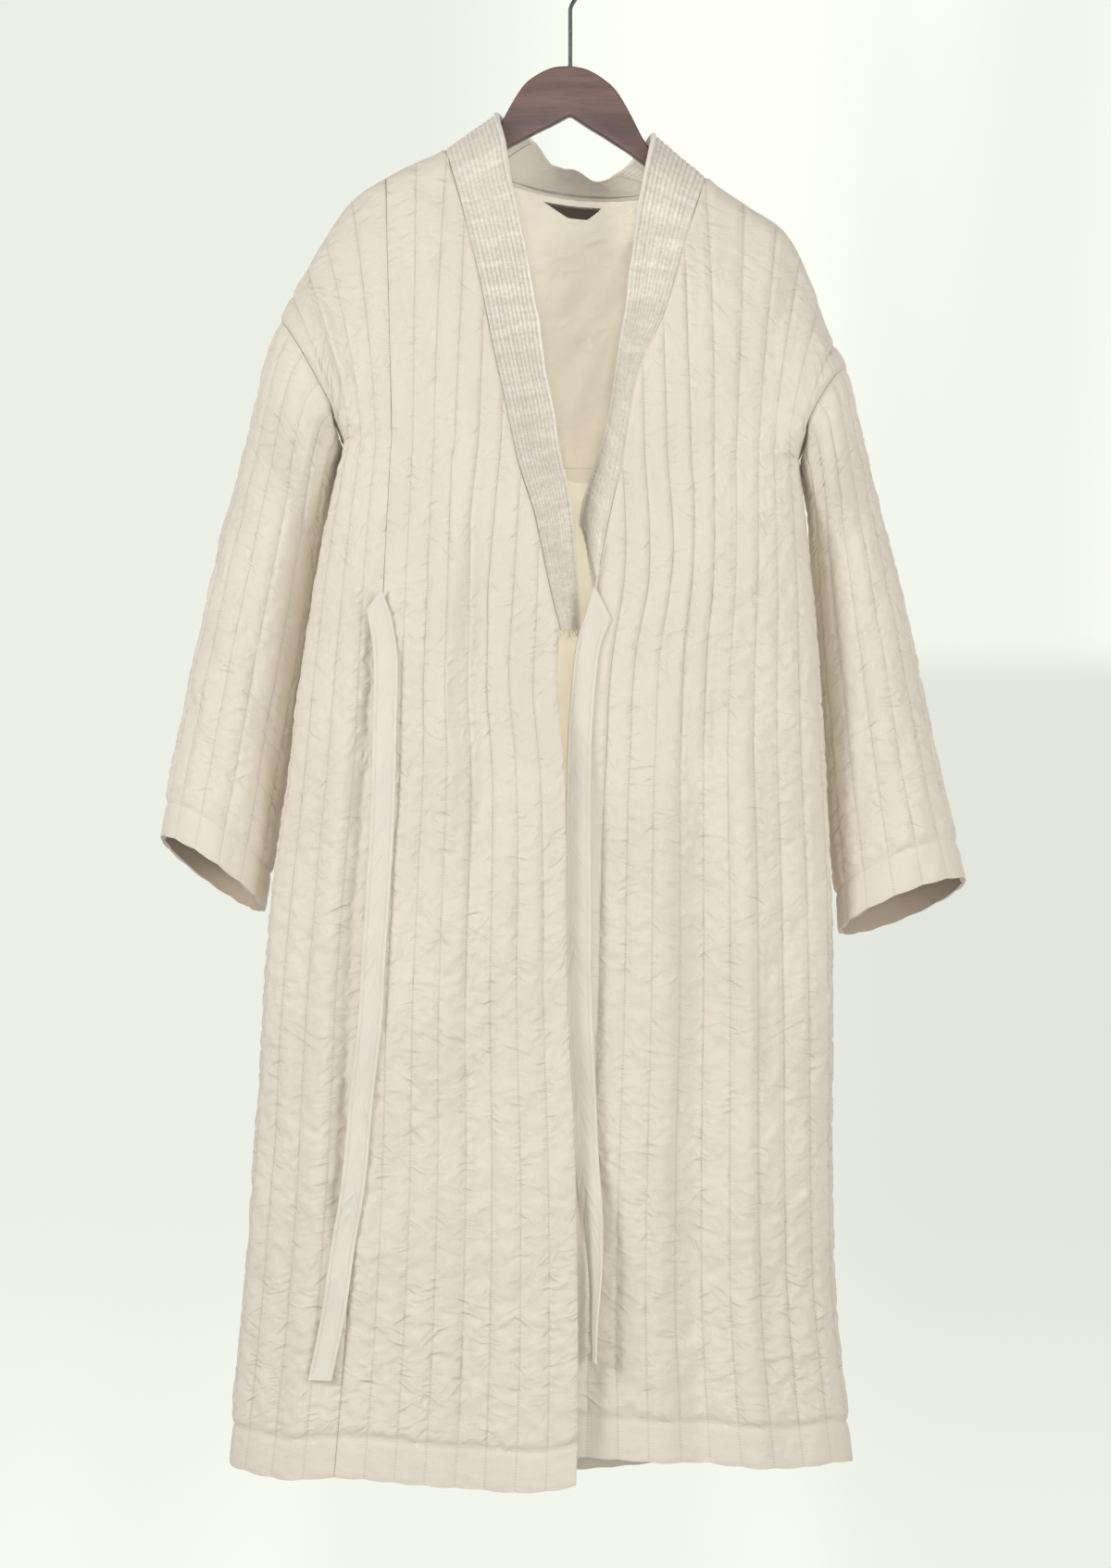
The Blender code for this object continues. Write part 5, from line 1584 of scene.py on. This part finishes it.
class COAT_OT_ties(bpy.types.Operator):
    """Make the two flat ties"""
    bl_idname = "coat.ties"
    bl_label = "Ties"

    def execute(self, context):
        self.tie("tie_right", TIE_RIGHT, ["front_right_side", "front_right"], (.10, 30, 52))
        self.tie("tie_left", TIE_LEFT, ["front_left"], (-.20, 73, 42))
        return {"FINISHED"}

    def tie(self, node, table, carriers, root):
        """A strip over the cloth; root is the peak's place and the slopes beside it."""
        peak, left, right = root
        tree = mesh_tree(carriers)
        drops = np.linspace(table.keys[0], table.keys[-1], TIE_FINE)
        step = drops[1] - drops[0]
        reach = TIE_WIDTH / 2 * 1.05
        depth = []
        for drop in drops:
            x = table.at("x", drop)
            seen = [foremost(tree, x + s * reach, drop) for s in np.linspace(-1, 1, 7)]
            seen = [y for y in seen if y is not None]
            depth.append(min(seen) if seen else np.nan)
        depth = np.array(depth)
        known = ~np.isnan(depth)
        depth = np.interp(drops, drops[known], depth[known])
        wide = int(TIE_STIFF / step)
        padded = np.pad(depth, wide, mode="edge")
        bridge = np.array([padded[i:i + 2 * wide + 1].min() for i in range(len(drops))])
        padded = np.pad(bridge, wide, mode="edge")
        bridge = np.convolve(padded, np.ones(2 * wide + 1) / (2 * wide + 1), "valid")
        bridge = np.minimum(bridge, depth) - GAP
        back, front = [], []
        for drop, y in zip(drops, bridge):
            turn = math.radians(table.at("turn", drop))
            sway = noise.noise(Vector((drop * .012, 5.0, len(node))))
            lift = .3 * abs(noise.noise(Vector((drop * .02, 8.0, len(node)))))
            side = np.array([math.cos(turn), -math.sin(turn), 0])
            way = np.array([-math.sin(turn), -math.cos(turn), 0])
            mid = np.array([table.at("x", drop) + sway, y - lift
                            - TIE_WIDTH / 2 * abs(math.sin(turn)), drop])
            fade_up = max(0, 1 - (drop - drops[0]) / (3 * TIE_POINT))
            row, raised = [], []
            for t, thick in TIE_SECTION:
                at = mid + side * TIE_WIDTH * t
                at[2] += fade_up * (max(left * (peak - t), right * (t - peak)) - TIE_POINT)
                row.append(at)
                raised.append(at + way * TIE_THICK * thick)
            back.append(row)
            front.append(raised)
        back, front = np.array(back), np.array(front)
        cloth = np.stack([across_rows(front), along_columns(front)], 2) * MM
        piece = wall(node + "_cloth", back, front, (1, 1), [finish_of("tie_cloth")], cloth)
        dress(piece, node)
        declare_cloth(back)
        way = np.broadcast_to(unit(front - back + (0, -1e-6, 0))[:, 5:6], front.shape)
        MADE[node] = dict(piece=piece, base=back, way=way, outer=front)


def plain_mesh(made, name):
    """Turn an object with modifiers or a curve into a smooth mesh."""
    graph = bpy.context.evaluated_depsgraph_get()
    mesh = bpy.data.meshes.new_from_object(made.evaluated_get(graph))
    bpy.data.objects.remove(made)
    mesh.name = name
    tidy = bmesh.new()
    tidy.from_mesh(mesh)
    bmesh.ops.remove_doubles(tidy, verts=tidy.verts[:], dist=1e-6)
    bmesh.ops.recalc_face_normals(tidy, faces=tidy.faces[:])
    tidy.to_mesh(mesh)
    tidy.free()
    mesh.shade_smooth()
    mesh.set_sharp_from_angle(angle=math.radians(50))
    piece = bpy.data.objects.new(name, mesh)
    bpy.context.scene.collection.objects.link(piece)
    return piece


def wires(name, paths, radius, finish, round_steps=1):
    """Round wires or threads along paths, as one mesh."""
    curve = bpy.data.curves.new(name, "CURVE")
    curve.dimensions = "3D"
    for path in paths:
        line = curve.splines.new("POLY")
        line.points.add(len(path) - 1)
        for point, place in zip(line.points, path):
            point.co = (*place, 1)
    curve.bevel_depth = radius
    curve.bevel_resolution = round_steps
    curve.use_fill_caps = True
    wire = bpy.data.objects.new(name, curve)
    bpy.context.scene.collection.objects.link(wire)
    wire = plain_mesh(wire, name)
    wire.data.materials.clear()
    wire.data.materials.append(finish)
    return wire


class COAT_OT_hanger(bpy.types.Operator):
    """Make the wooden hanger and its wire hook"""
    bl_idname = "coat.hanger"
    bl_label = "Hanger"

    def execute(self, context):
        outs = np.concatenate([np.linspace(0, 70, 29), np.linspace(70, HANGER.keys[-1], 30)[1:]])
        upper_edge = [(o, HANGER.at("top", o)) for o in outs]
        under_edge = [(o, HANGER.at("under", o)) for o in outs]
        half = upper_edge + under_edge[::-1]
        ring = half + [(-o, d) for o, d in half[::-1] if o > 0]
        lean = math.sin(HANGER_LEAN)
        flat = [(o * math.cos(HANGER_LEAN), -HANGER_HALF_THICK, d + o * lean) for o, d in ring]
        count = len(flat)
        points = flat + [(x, -y, d) for x, y, d in flat]
        faces = [list(range(count)), list(range(count, 2 * count))[::-1]]
        faces += [[i, count + i, count + (i + 1) % count, (i + 1) % count] for i in range(count)]
        mesh = bpy.data.meshes.new("hanger_arms")
        mesh.from_pydata(to_world(points), [], faces)
        wood = bpy.data.objects.new("hanger_arms", mesh)
        context.scene.collection.objects.link(wood)
        soft = wood.modifiers.new("rounded", "BEVEL")
        soft.width = HANGER_ROUND * MM
        soft.segments = 5
        soft.limit_method = "ANGLE"
        soft.angle_limit = math.radians(40)
        wood = plain_mesh(wood, "hanger_arms")
        wood.data.materials.append(finish_of("stained_wood"))
        dress(wood, "hanger_wood")
        self.hook()
        return {"FINISHED"}

    def hook(self):
        radius = HOOK_INSIDE + WIRE / 2
        turns = np.radians(np.linspace(195, -48, 60))
        path = [(radius * math.cos(t), radius * math.sin(t) - HOOK_INSIDE) for t in turns]
        x_end, z_end = path[-1]
        for t in np.linspace(0, 1, 20)[1:]:
            path.append((x_end * (1 - ease(t)), z_end + (SHANK_TOP - z_end) * t))
        path.append((0.0, -HOOK_RISE + GAP))
        path = [(x * MM, 0, z * MM) for x, z in path]
        wire = wires("hook_wire", [path], WIRE / 2 * MM, finish_of("dark_wire"), 4)
        dress(wire, "hanger_hook")


class COAT_OT_stitching(bpy.types.Operator):
    """Sew the quilting lines, hems, bands and ties"""
    bl_idname = "coat.stitching"
    bl_label = "Stitching"

    def execute(self, context):
        look = context.scene.coat_quilting
        thread = finish_of("sewing_thread")
        for node in ("front_right_side", "front_right", "front_left", "back",
                     "sleeve_right", "sleeve_left"):
            outer, way = MADE[node]["outer"], MADE[node]["way"]
            over = to_world(outer + way * THREAD_OVER)
            hem = len(outer) - 1 - FINE_HEM
            closed = node.startswith("sleeve")
            lines = range(0 if closed else FINE_CHANNEL, outer.shape[1] - 1, FINE_CHANNEL)
            paths = [over[2:hem:2, c] for c in lines]
            ring = np.concatenate([over, over[:, :1]], 1) if closed else over
            paths.append(ring[hem])
            stitch_along(node + "_stitches", paths, look.stitch_pitch, look.stitch_length,
                         look.thread_width, thread)
        trims = []
        band = MADE["collar"]
        edge = to_world(band["outer"] + band["way"] * THREAD_OVER)
        trims += [edge[2:-2:2, 3], edge[2:-2:2, -4]]
        for node in ("tie_right", "tie_left"):
            made = MADE[node]
            edge = to_world(made["outer"] + made["way"] * THREAD_OVER)
            trims += [edge[6:-2, 3], edge[6:-2, -4]]
        yoke = MADE["back_yoke"]
        edge = to_world(yoke["outer"] + yoke["way"] * THREAD_OVER)
        trims += [edge[-3]]
        tag = MADE["label"]
        edge = to_world(tag["outer"] + tag["way"] * THREAD_OVER)
        trims += [edge[1]]
        stitch_along("trim_stitches", trims, look.stitch_pitch, look.stitch_length,
                     look.thread_width, thread)
        self.loose_threads(look.thread_width / 2, thread)
        return {"FINISHED"}

    def loose_threads(self, radius, thread):
        """Frayed and oversewn ends of the collar band, and a thread at a tie's end."""
        rng = np.random.default_rng(41)
        band, way = MADE["collar"]["outer"], MADE["collar"]["way"]
        paths = []
        for c in range(6, band.shape[1] - 4, 5):
            start = band[0, c] + way[0, c] * .2
            lean = unit(band[0, c] - band[6, c]) + rng.normal(0, .35, 3)
            long = rng.uniform(3, 9)
            curl = rng.normal(0, 1.2, 3)
            paths.append([start + lean * long * t + curl * t ** 2 for t in np.linspace(-.15, 1, 7)])
        over = band + way * (radius / MM)
        zigzag = [over[-1 if k % 2 else -2, c] for k, c in enumerate(range(2, band.shape[1] - 1, 2))]
        paths.append(zigzag)
        end = MADE["tie_left"]["outer"][-1, 3]
        paths.append([end + (1.5 * math.sin(4 * t) - 4 * t, -1 - 2 * t, 19 * t - .5)
                      for t in np.linspace(0, 1, 12)])
        piece = wires("loose_threads", [to_world(p) for p in paths], radius, thread)
        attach(piece, "root")
        tack = []
        for k in range(4):
            row = len(band) - END_ROWS // 4 - k
            tack.append(to_world(np.array([over[row, -2] + way[row, -2] * .4, over[row, -9]])))
        piece = wires("bar_tack", tack, radius * 1.3, finish_of("tack_thread"))
        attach(piece, "root")


class COAT_OT_stage(bpy.types.Operator):
    """Set up the pale studio, its light and the camera"""
    bl_idname = "coat.stage"
    bl_label = "Stage"

    def execute(self, context):
        stage = context.scene.coat_stage
        scene = context.scene
        self.studio(stage)
        world = bpy.data.worlds.new("studio_air")
        scene.world = world
        world.use_nodes = True
        sky = world.node_tree.nodes["Background"]
        sky.inputs["Color"].default_value = rgba(stage.air)
        sky.inputs["Strength"].default_value = stage.air_strength
        aim = Vector((0, 0, -.70))
        for name, power, size, place in (
                ("key", stage.key_power, 1.2, (-2.6, -1.8, .3)),
                ("fill", stage.fill_power, 2.0, (2.6, -2.2, -.1)),
                ("front", stage.front_power, .5, (.05, -2.9, -.8)),
                ("back", stage.back_power, 2.0, (.6, 2.6, .7))):
            lamp = bpy.data.lights.new(name, "AREA")
            lamp.energy = power
            lamp.size = size
            holder = bpy.data.objects.new(name, lamp)
            holder.location = place
            holder.rotation_euler = (aim - Vector(place)).to_track_quat("-Z", "Y").to_euler()
            scene.collection.objects.link(holder)
        self.inside_light(stage)
        lens = bpy.data.cameras.new("photo_camera")
        lens.sensor_width = SENSOR
        lens.lens = SENSOR * stage.camera_distance / stage.frame_height
        lens.dof.use_dof = False
        camera = bpy.data.objects.new("photo_camera", lens)
        camera.location = (stage.eye_x, -stage.camera_distance, stage.eye_z)
        camera.rotation_euler = (math.pi / 2, 0, 0)
        scene.collection.objects.link(camera)
        scene.camera = camera
        scene.view_settings.view_transform = "Standard"
        return {"FINISHED"}

    def inside_light(self, stage):
        """Light that comes through the cloth to the inside of the back."""
        inside = bpy.data.collections.new("inside_cloth")
        for node in ("back_yoke", "back_lining"):
            if node in MADE:
                inside.objects.link(MADE[node]["piece"])
        lamp = bpy.data.lights.new("through_cloth", "AREA")
        lamp.energy = stage.inside_power
        lamp.color = stage.inside_tint
        lamp.size = .8
        lamp.use_shadow = False
        holder = bpy.data.objects.new("through_cloth", lamp)
        holder.location = (-1.5, -1.7, .3)
        turn = Vector((0, 0, -.45)) - holder.location
        holder.rotation_euler = turn.to_track_quat("-Z", "Y").to_euler()
        holder.light_linking.receiver_collection = inside
        bpy.context.scene.collection.objects.link(holder)

    def studio(self, stage):
        """Round floor that turns up into a far wall on every side, its glow painted with patches of sun and
        shade.
        """
        profile = [(0.0, 0.0), (2.0, 0.0)]
        bend, wall_at = stage.wall_bend, stage.wall_distance
        profile.append((wall_at - bend, 0.0))
        for t in np.linspace(0, math.pi / 2, 13)[1:]:
            profile.append((wall_at - bend + bend * math.sin(t), bend * (1 - math.cos(t))))
        profile.append((wall_at, stage.wall_height))
        count = 64
        points = []
        faces = []
        for k in range(count):
            a = 2 * math.pi * k / count
            points += [(r * math.cos(a), r * math.sin(a), stage.floor + h) for r, h in profile]
        size = len(profile)
        for k in range(count):
            n = (k + 1) % count
            for i in range(size - 1):
                faces.append((k * size + i, k * size + i + 1, n * size + i + 1, n * size + i))
        mesh = bpy.data.meshes.new("studio")
        mesh.from_pydata(points, [], faces)
        tidy = bmesh.new()
        tidy.from_mesh(mesh)
        bmesh.ops.remove_doubles(tidy, verts=tidy.verts[:], dist=1e-5)
        tidy.to_mesh(mesh)
        tidy.free()
        mesh.shade_smooth()
        studio = bpy.data.objects.new("studio", mesh)
        bpy.context.scene.collection.objects.link(studio)
        finish, _, shader = new_finish("studio_paint")
        shader.inputs["Base Color"].default_value = rgba(stage.paint)
        shader.inputs["Roughness"].default_value = .95
        shader.inputs["Specular IOR Level"].default_value = 0
        tree = finish.node_tree
        where = add(tree, "ShaderNodeTexCoord").outputs["Object"]
        side, _, up = add(tree, "ShaderNodeSeparateXYZ", {0: where}).outputs
        # Painted sun patches on the upper wall, broken by window-pane shapes.
        sunny = maths(tree, "MULTIPLY", fade(tree, side, -.5, .3), fade(tree, up, -.45, -.25))
        pane = speckle(tree, where, .9, 1, .4, (1, .2, .12))
        sunny = maths(tree, "MULTIPLY", sunny, fade(tree, pane, .35, .55, .55, 1))
        # Painted light low on the wall near the floor.
        low = maths(tree, "MULTIPLY", fade(tree, up, -3.0, -1.9, 1, 0), fade(tree, pane, .4, .6, .4, 1))
        sunny = maths(tree, "MAXIMUM", sunny, low)
        # Painted shade: the wall out of the painted sun, darker still towards the right.
        painted_wall_shade = mixed(tree, fade(tree, side, .2, 1.2), rgba(stage.glow, stage.shade),
                     rgba(stage.glow, stage.shade * .91))
        tone = mixed(tree, sunny, painted_wall_shade, rgba(stage.glow))
        tree.links.new(tone, shader.inputs["Emission Color"])
        shader.inputs["Emission Strength"].default_value = stage.glow_strength
        mesh.materials.append(finish)
        studio.visible_diffuse = False
        studio.visible_shadow = False


def length_property(name, text, default):
    return bpy.props.FloatProperty(name=name, description=text, default=default, unit="LENGTH",
                                   precision=4)


def colour_property(name, text, default):
    return bpy.props.FloatVectorProperty(name=name, description=text, default=default, size=3,
                                         subtype="COLOR", min=0, max=1)


def power_property(name, text, default):
    return bpy.props.FloatProperty(name=name, description=text, default=default, unit="POWER")


def number_property(name, text, default):
    return bpy.props.FloatProperty(name=name, description=text, default=default, precision=4)


class CoatQuilting(bpy.types.PropertyGroup):
    """Sizes of the padding, its puckers and its stitches"""
    loft: length_property("Loft", "Height of the padding between sewn lines", .0018)
    dimple: length_property("Dimple", "Half width of the dip along a sewn line", .0022)
    unevenness: length_property("Unevenness", "Random start that puckers grow from", .0003)
    pucker_growth: bpy.props.FloatProperty(
        name="Pucker growth", description="Extra cloth between sewn lines", default=.033,
        subtype="FACTOR")
    pucker_frames: bpy.props.IntProperty(
        name="Pucker frames", description="Steps that the cloth is left to buckle", default=12)
    pucker_quality: bpy.props.IntProperty(
        name="Pucker quality", description="Solver steps a frame", default=4)
    pucker_mass: bpy.props.FloatProperty(
        name="Pucker mass", description="Mass of a point", default=.02, unit="MASS", precision=4)
    pucker_stiffness: number_property("Pucker stiffness", "Resistance to stretching", 15)
    pucker_bending: number_property("Pucker bending", "Resistance to folding", .045)
    pucker_pressure: number_property("Padding pressure", "Push of the padding", .1)
    pucker_in: length_property("Deepest pucker", "Most that a pucker goes in", .0026)
    pucker_out: length_property("Highest pucker", "Most that a pucker stands out", .0030)
    pucker_slip: length_property("Pucker slip", "Most that cloth slides sideways", .0015)
    stitch_pitch: length_property("Stitch pitch", "From one stitch to the next", .0026)
    stitch_length: length_property("Stitch length", "Thread that shows of a stitch", .0017)
    thread_width: length_property("Thread width", "Thickness of the thread", .0005)


class CoatColours(bpy.types.PropertyGroup):
    """Colours of the cloth, wood and wire"""
    quilt: colour_property("Quilted cotton", "Outside of the coat", (.785, .715, .605))
    # Darkens the weave, and paints shade on the sewn lines and shadow in the needle holes.
    weave_tone_and_painted_shade: colour_property("Quilt shade", "Sewn lines and weave", (.52, .44, .34))
    rib: colour_property("Ribbed cloth", "Collar band", (.83, .79, .693))
    # Darkens the nap and weave, and paints shade between the ribs.
    rib_nap_and_painted_shade: colour_property("Rib shade", "Between the ribs", (.57, .50, .40))
    # Painted shade: the inside of the cuffs is darkened as if in shadow.
    sleeve_inside_painted_shade: colour_property("Sleeve inside", "Inside of the cuffs", (.51, .42, .32))
    facing: colour_property("Facing", "Inside of the collar", (.785, .715, .605))
    plain: colour_property("Plain cotton", "Yoke and facings", (.79, .735, .635))
    lining: colour_property("Lining", "Inside of the back", (.97, .92, .80))
    tie: colour_property("Tie", "Flat ties", (.785, .74, .635))
    label: colour_property("Label", "Bare neck label", (.12, .085, .072))
    wood: colour_property("Wood", "Stained hanger", (.135, .078, .065))
    wire: colour_property("Wire", "Hook", (.07, .07, .07))
    thread: colour_property("Thread", "All stitches", (.74, .68, .58))
    tack: colour_property("Tack", "Bar tack at the collar's end", (.20, .19, .16))


class CoatStage(bpy.types.PropertyGroup):
    """Studio, light and camera"""
    floor: length_property("Floor", "Height of the floor", -3.3)
    wall_distance: length_property("Wall distance", "From the coat to the wall", 7.0)
    wall_height: length_property("Wall height", "Height of the wall", 8.0)
    wall_bend: length_property("Wall bend", "Radius where the floor turns up", 2.5)
    paint: colour_property("Paint", "Floor and wall", (.08, .08, .075))
    glow: colour_property("Glow", "Light off the wall", (.935, .96, .87))
    # Painted shade: the wall out of the painted sun patches glows at this share.
    shade: bpy.props.FloatProperty(name="Shade", description="Wall out of the sun, as a share of it",
                                   default=.84, subtype="FACTOR")
    glow_strength: number_property("Glow strength", "Brightness of the wall", 1.03)
    air: colour_property("Air", "Light from all round", (.97, 1.0, .97))
    air_strength: number_property("Air strength", "Light from above", .33)
    key_power: power_property("Key", "Light from the upper left", 51)
    fill_power: power_property("Fill", "Light from the right", 45)
    front_power: power_property("Front", "Light from beside the camera", 19)
    inside_power: power_property("Inside", "Light through the cloth", 31)
    inside_tint: colour_property("Inside tint", "Colour of light through the cloth", (1, .97, .90))
    back_power: power_property("Back", "Light from behind", 55)
    camera_distance: length_property("Camera distance", "From the hanger's plane", 2.6)
    frame_height: length_property("Frame height", "Seen height in the hanger's plane", 1.3544)
    eye_x: length_property("Eye across", "Camera's place across", -.0128)
    eye_z: length_property("Eye height", "Camera's height", -.7296)


OPERATORS = (COAT_OT_body, COAT_OT_sleeves, COAT_OT_collar, COAT_OT_inside, COAT_OT_ties,
             COAT_OT_hanger, COAT_OT_stitching, COAT_OT_stage)
GROUPS = {"coat_quilting": CoatQuilting, "coat_colours": CoatColours, "coat_stage": CoatStage}


class COAT_PT_panel(bpy.types.Panel):
    """Lists the coat's pieces and settings"""
    bl_label = "Quilted coat"
    bl_space_type = "VIEW_3D"
    bl_region_type = "UI"
    bl_category = "Coat"

    def draw(self, context):
        for operator in OPERATORS:
            self.layout.operator(operator.bl_idname)
        for name, group in GROUPS.items():
            box = self.layout.box()
            settings = getattr(context.scene, name)
            for key in group.__annotations__:
                box.prop(settings, key)


def register():
    for made in (*GROUPS.values(), *OPERATORS, COAT_PT_panel):
        bpy.utils.register_class(made)
    for name, group in GROUPS.items():
        setattr(bpy.types.Scene, name, bpy.props.PointerProperty(type=group))


def unregister():
    for name in GROUPS:
        delattr(bpy.types.Scene, name)
    for made in (COAT_PT_panel, *OPERATORS[::-1], *GROUPS.values()):
        bpy.utils.unregister_class(made)


def main():
    register()
    bpy.ops.coat.body()
    bpy.ops.coat.sleeves()
    bpy.ops.coat.collar()
    bpy.ops.coat.inside()
    bpy.ops.coat.ties()
    bpy.ops.coat.hanger()
    bpy.ops.coat.stitching()
    bpy.ops.coat.stage()


if __name__ == "__main__":
    main()
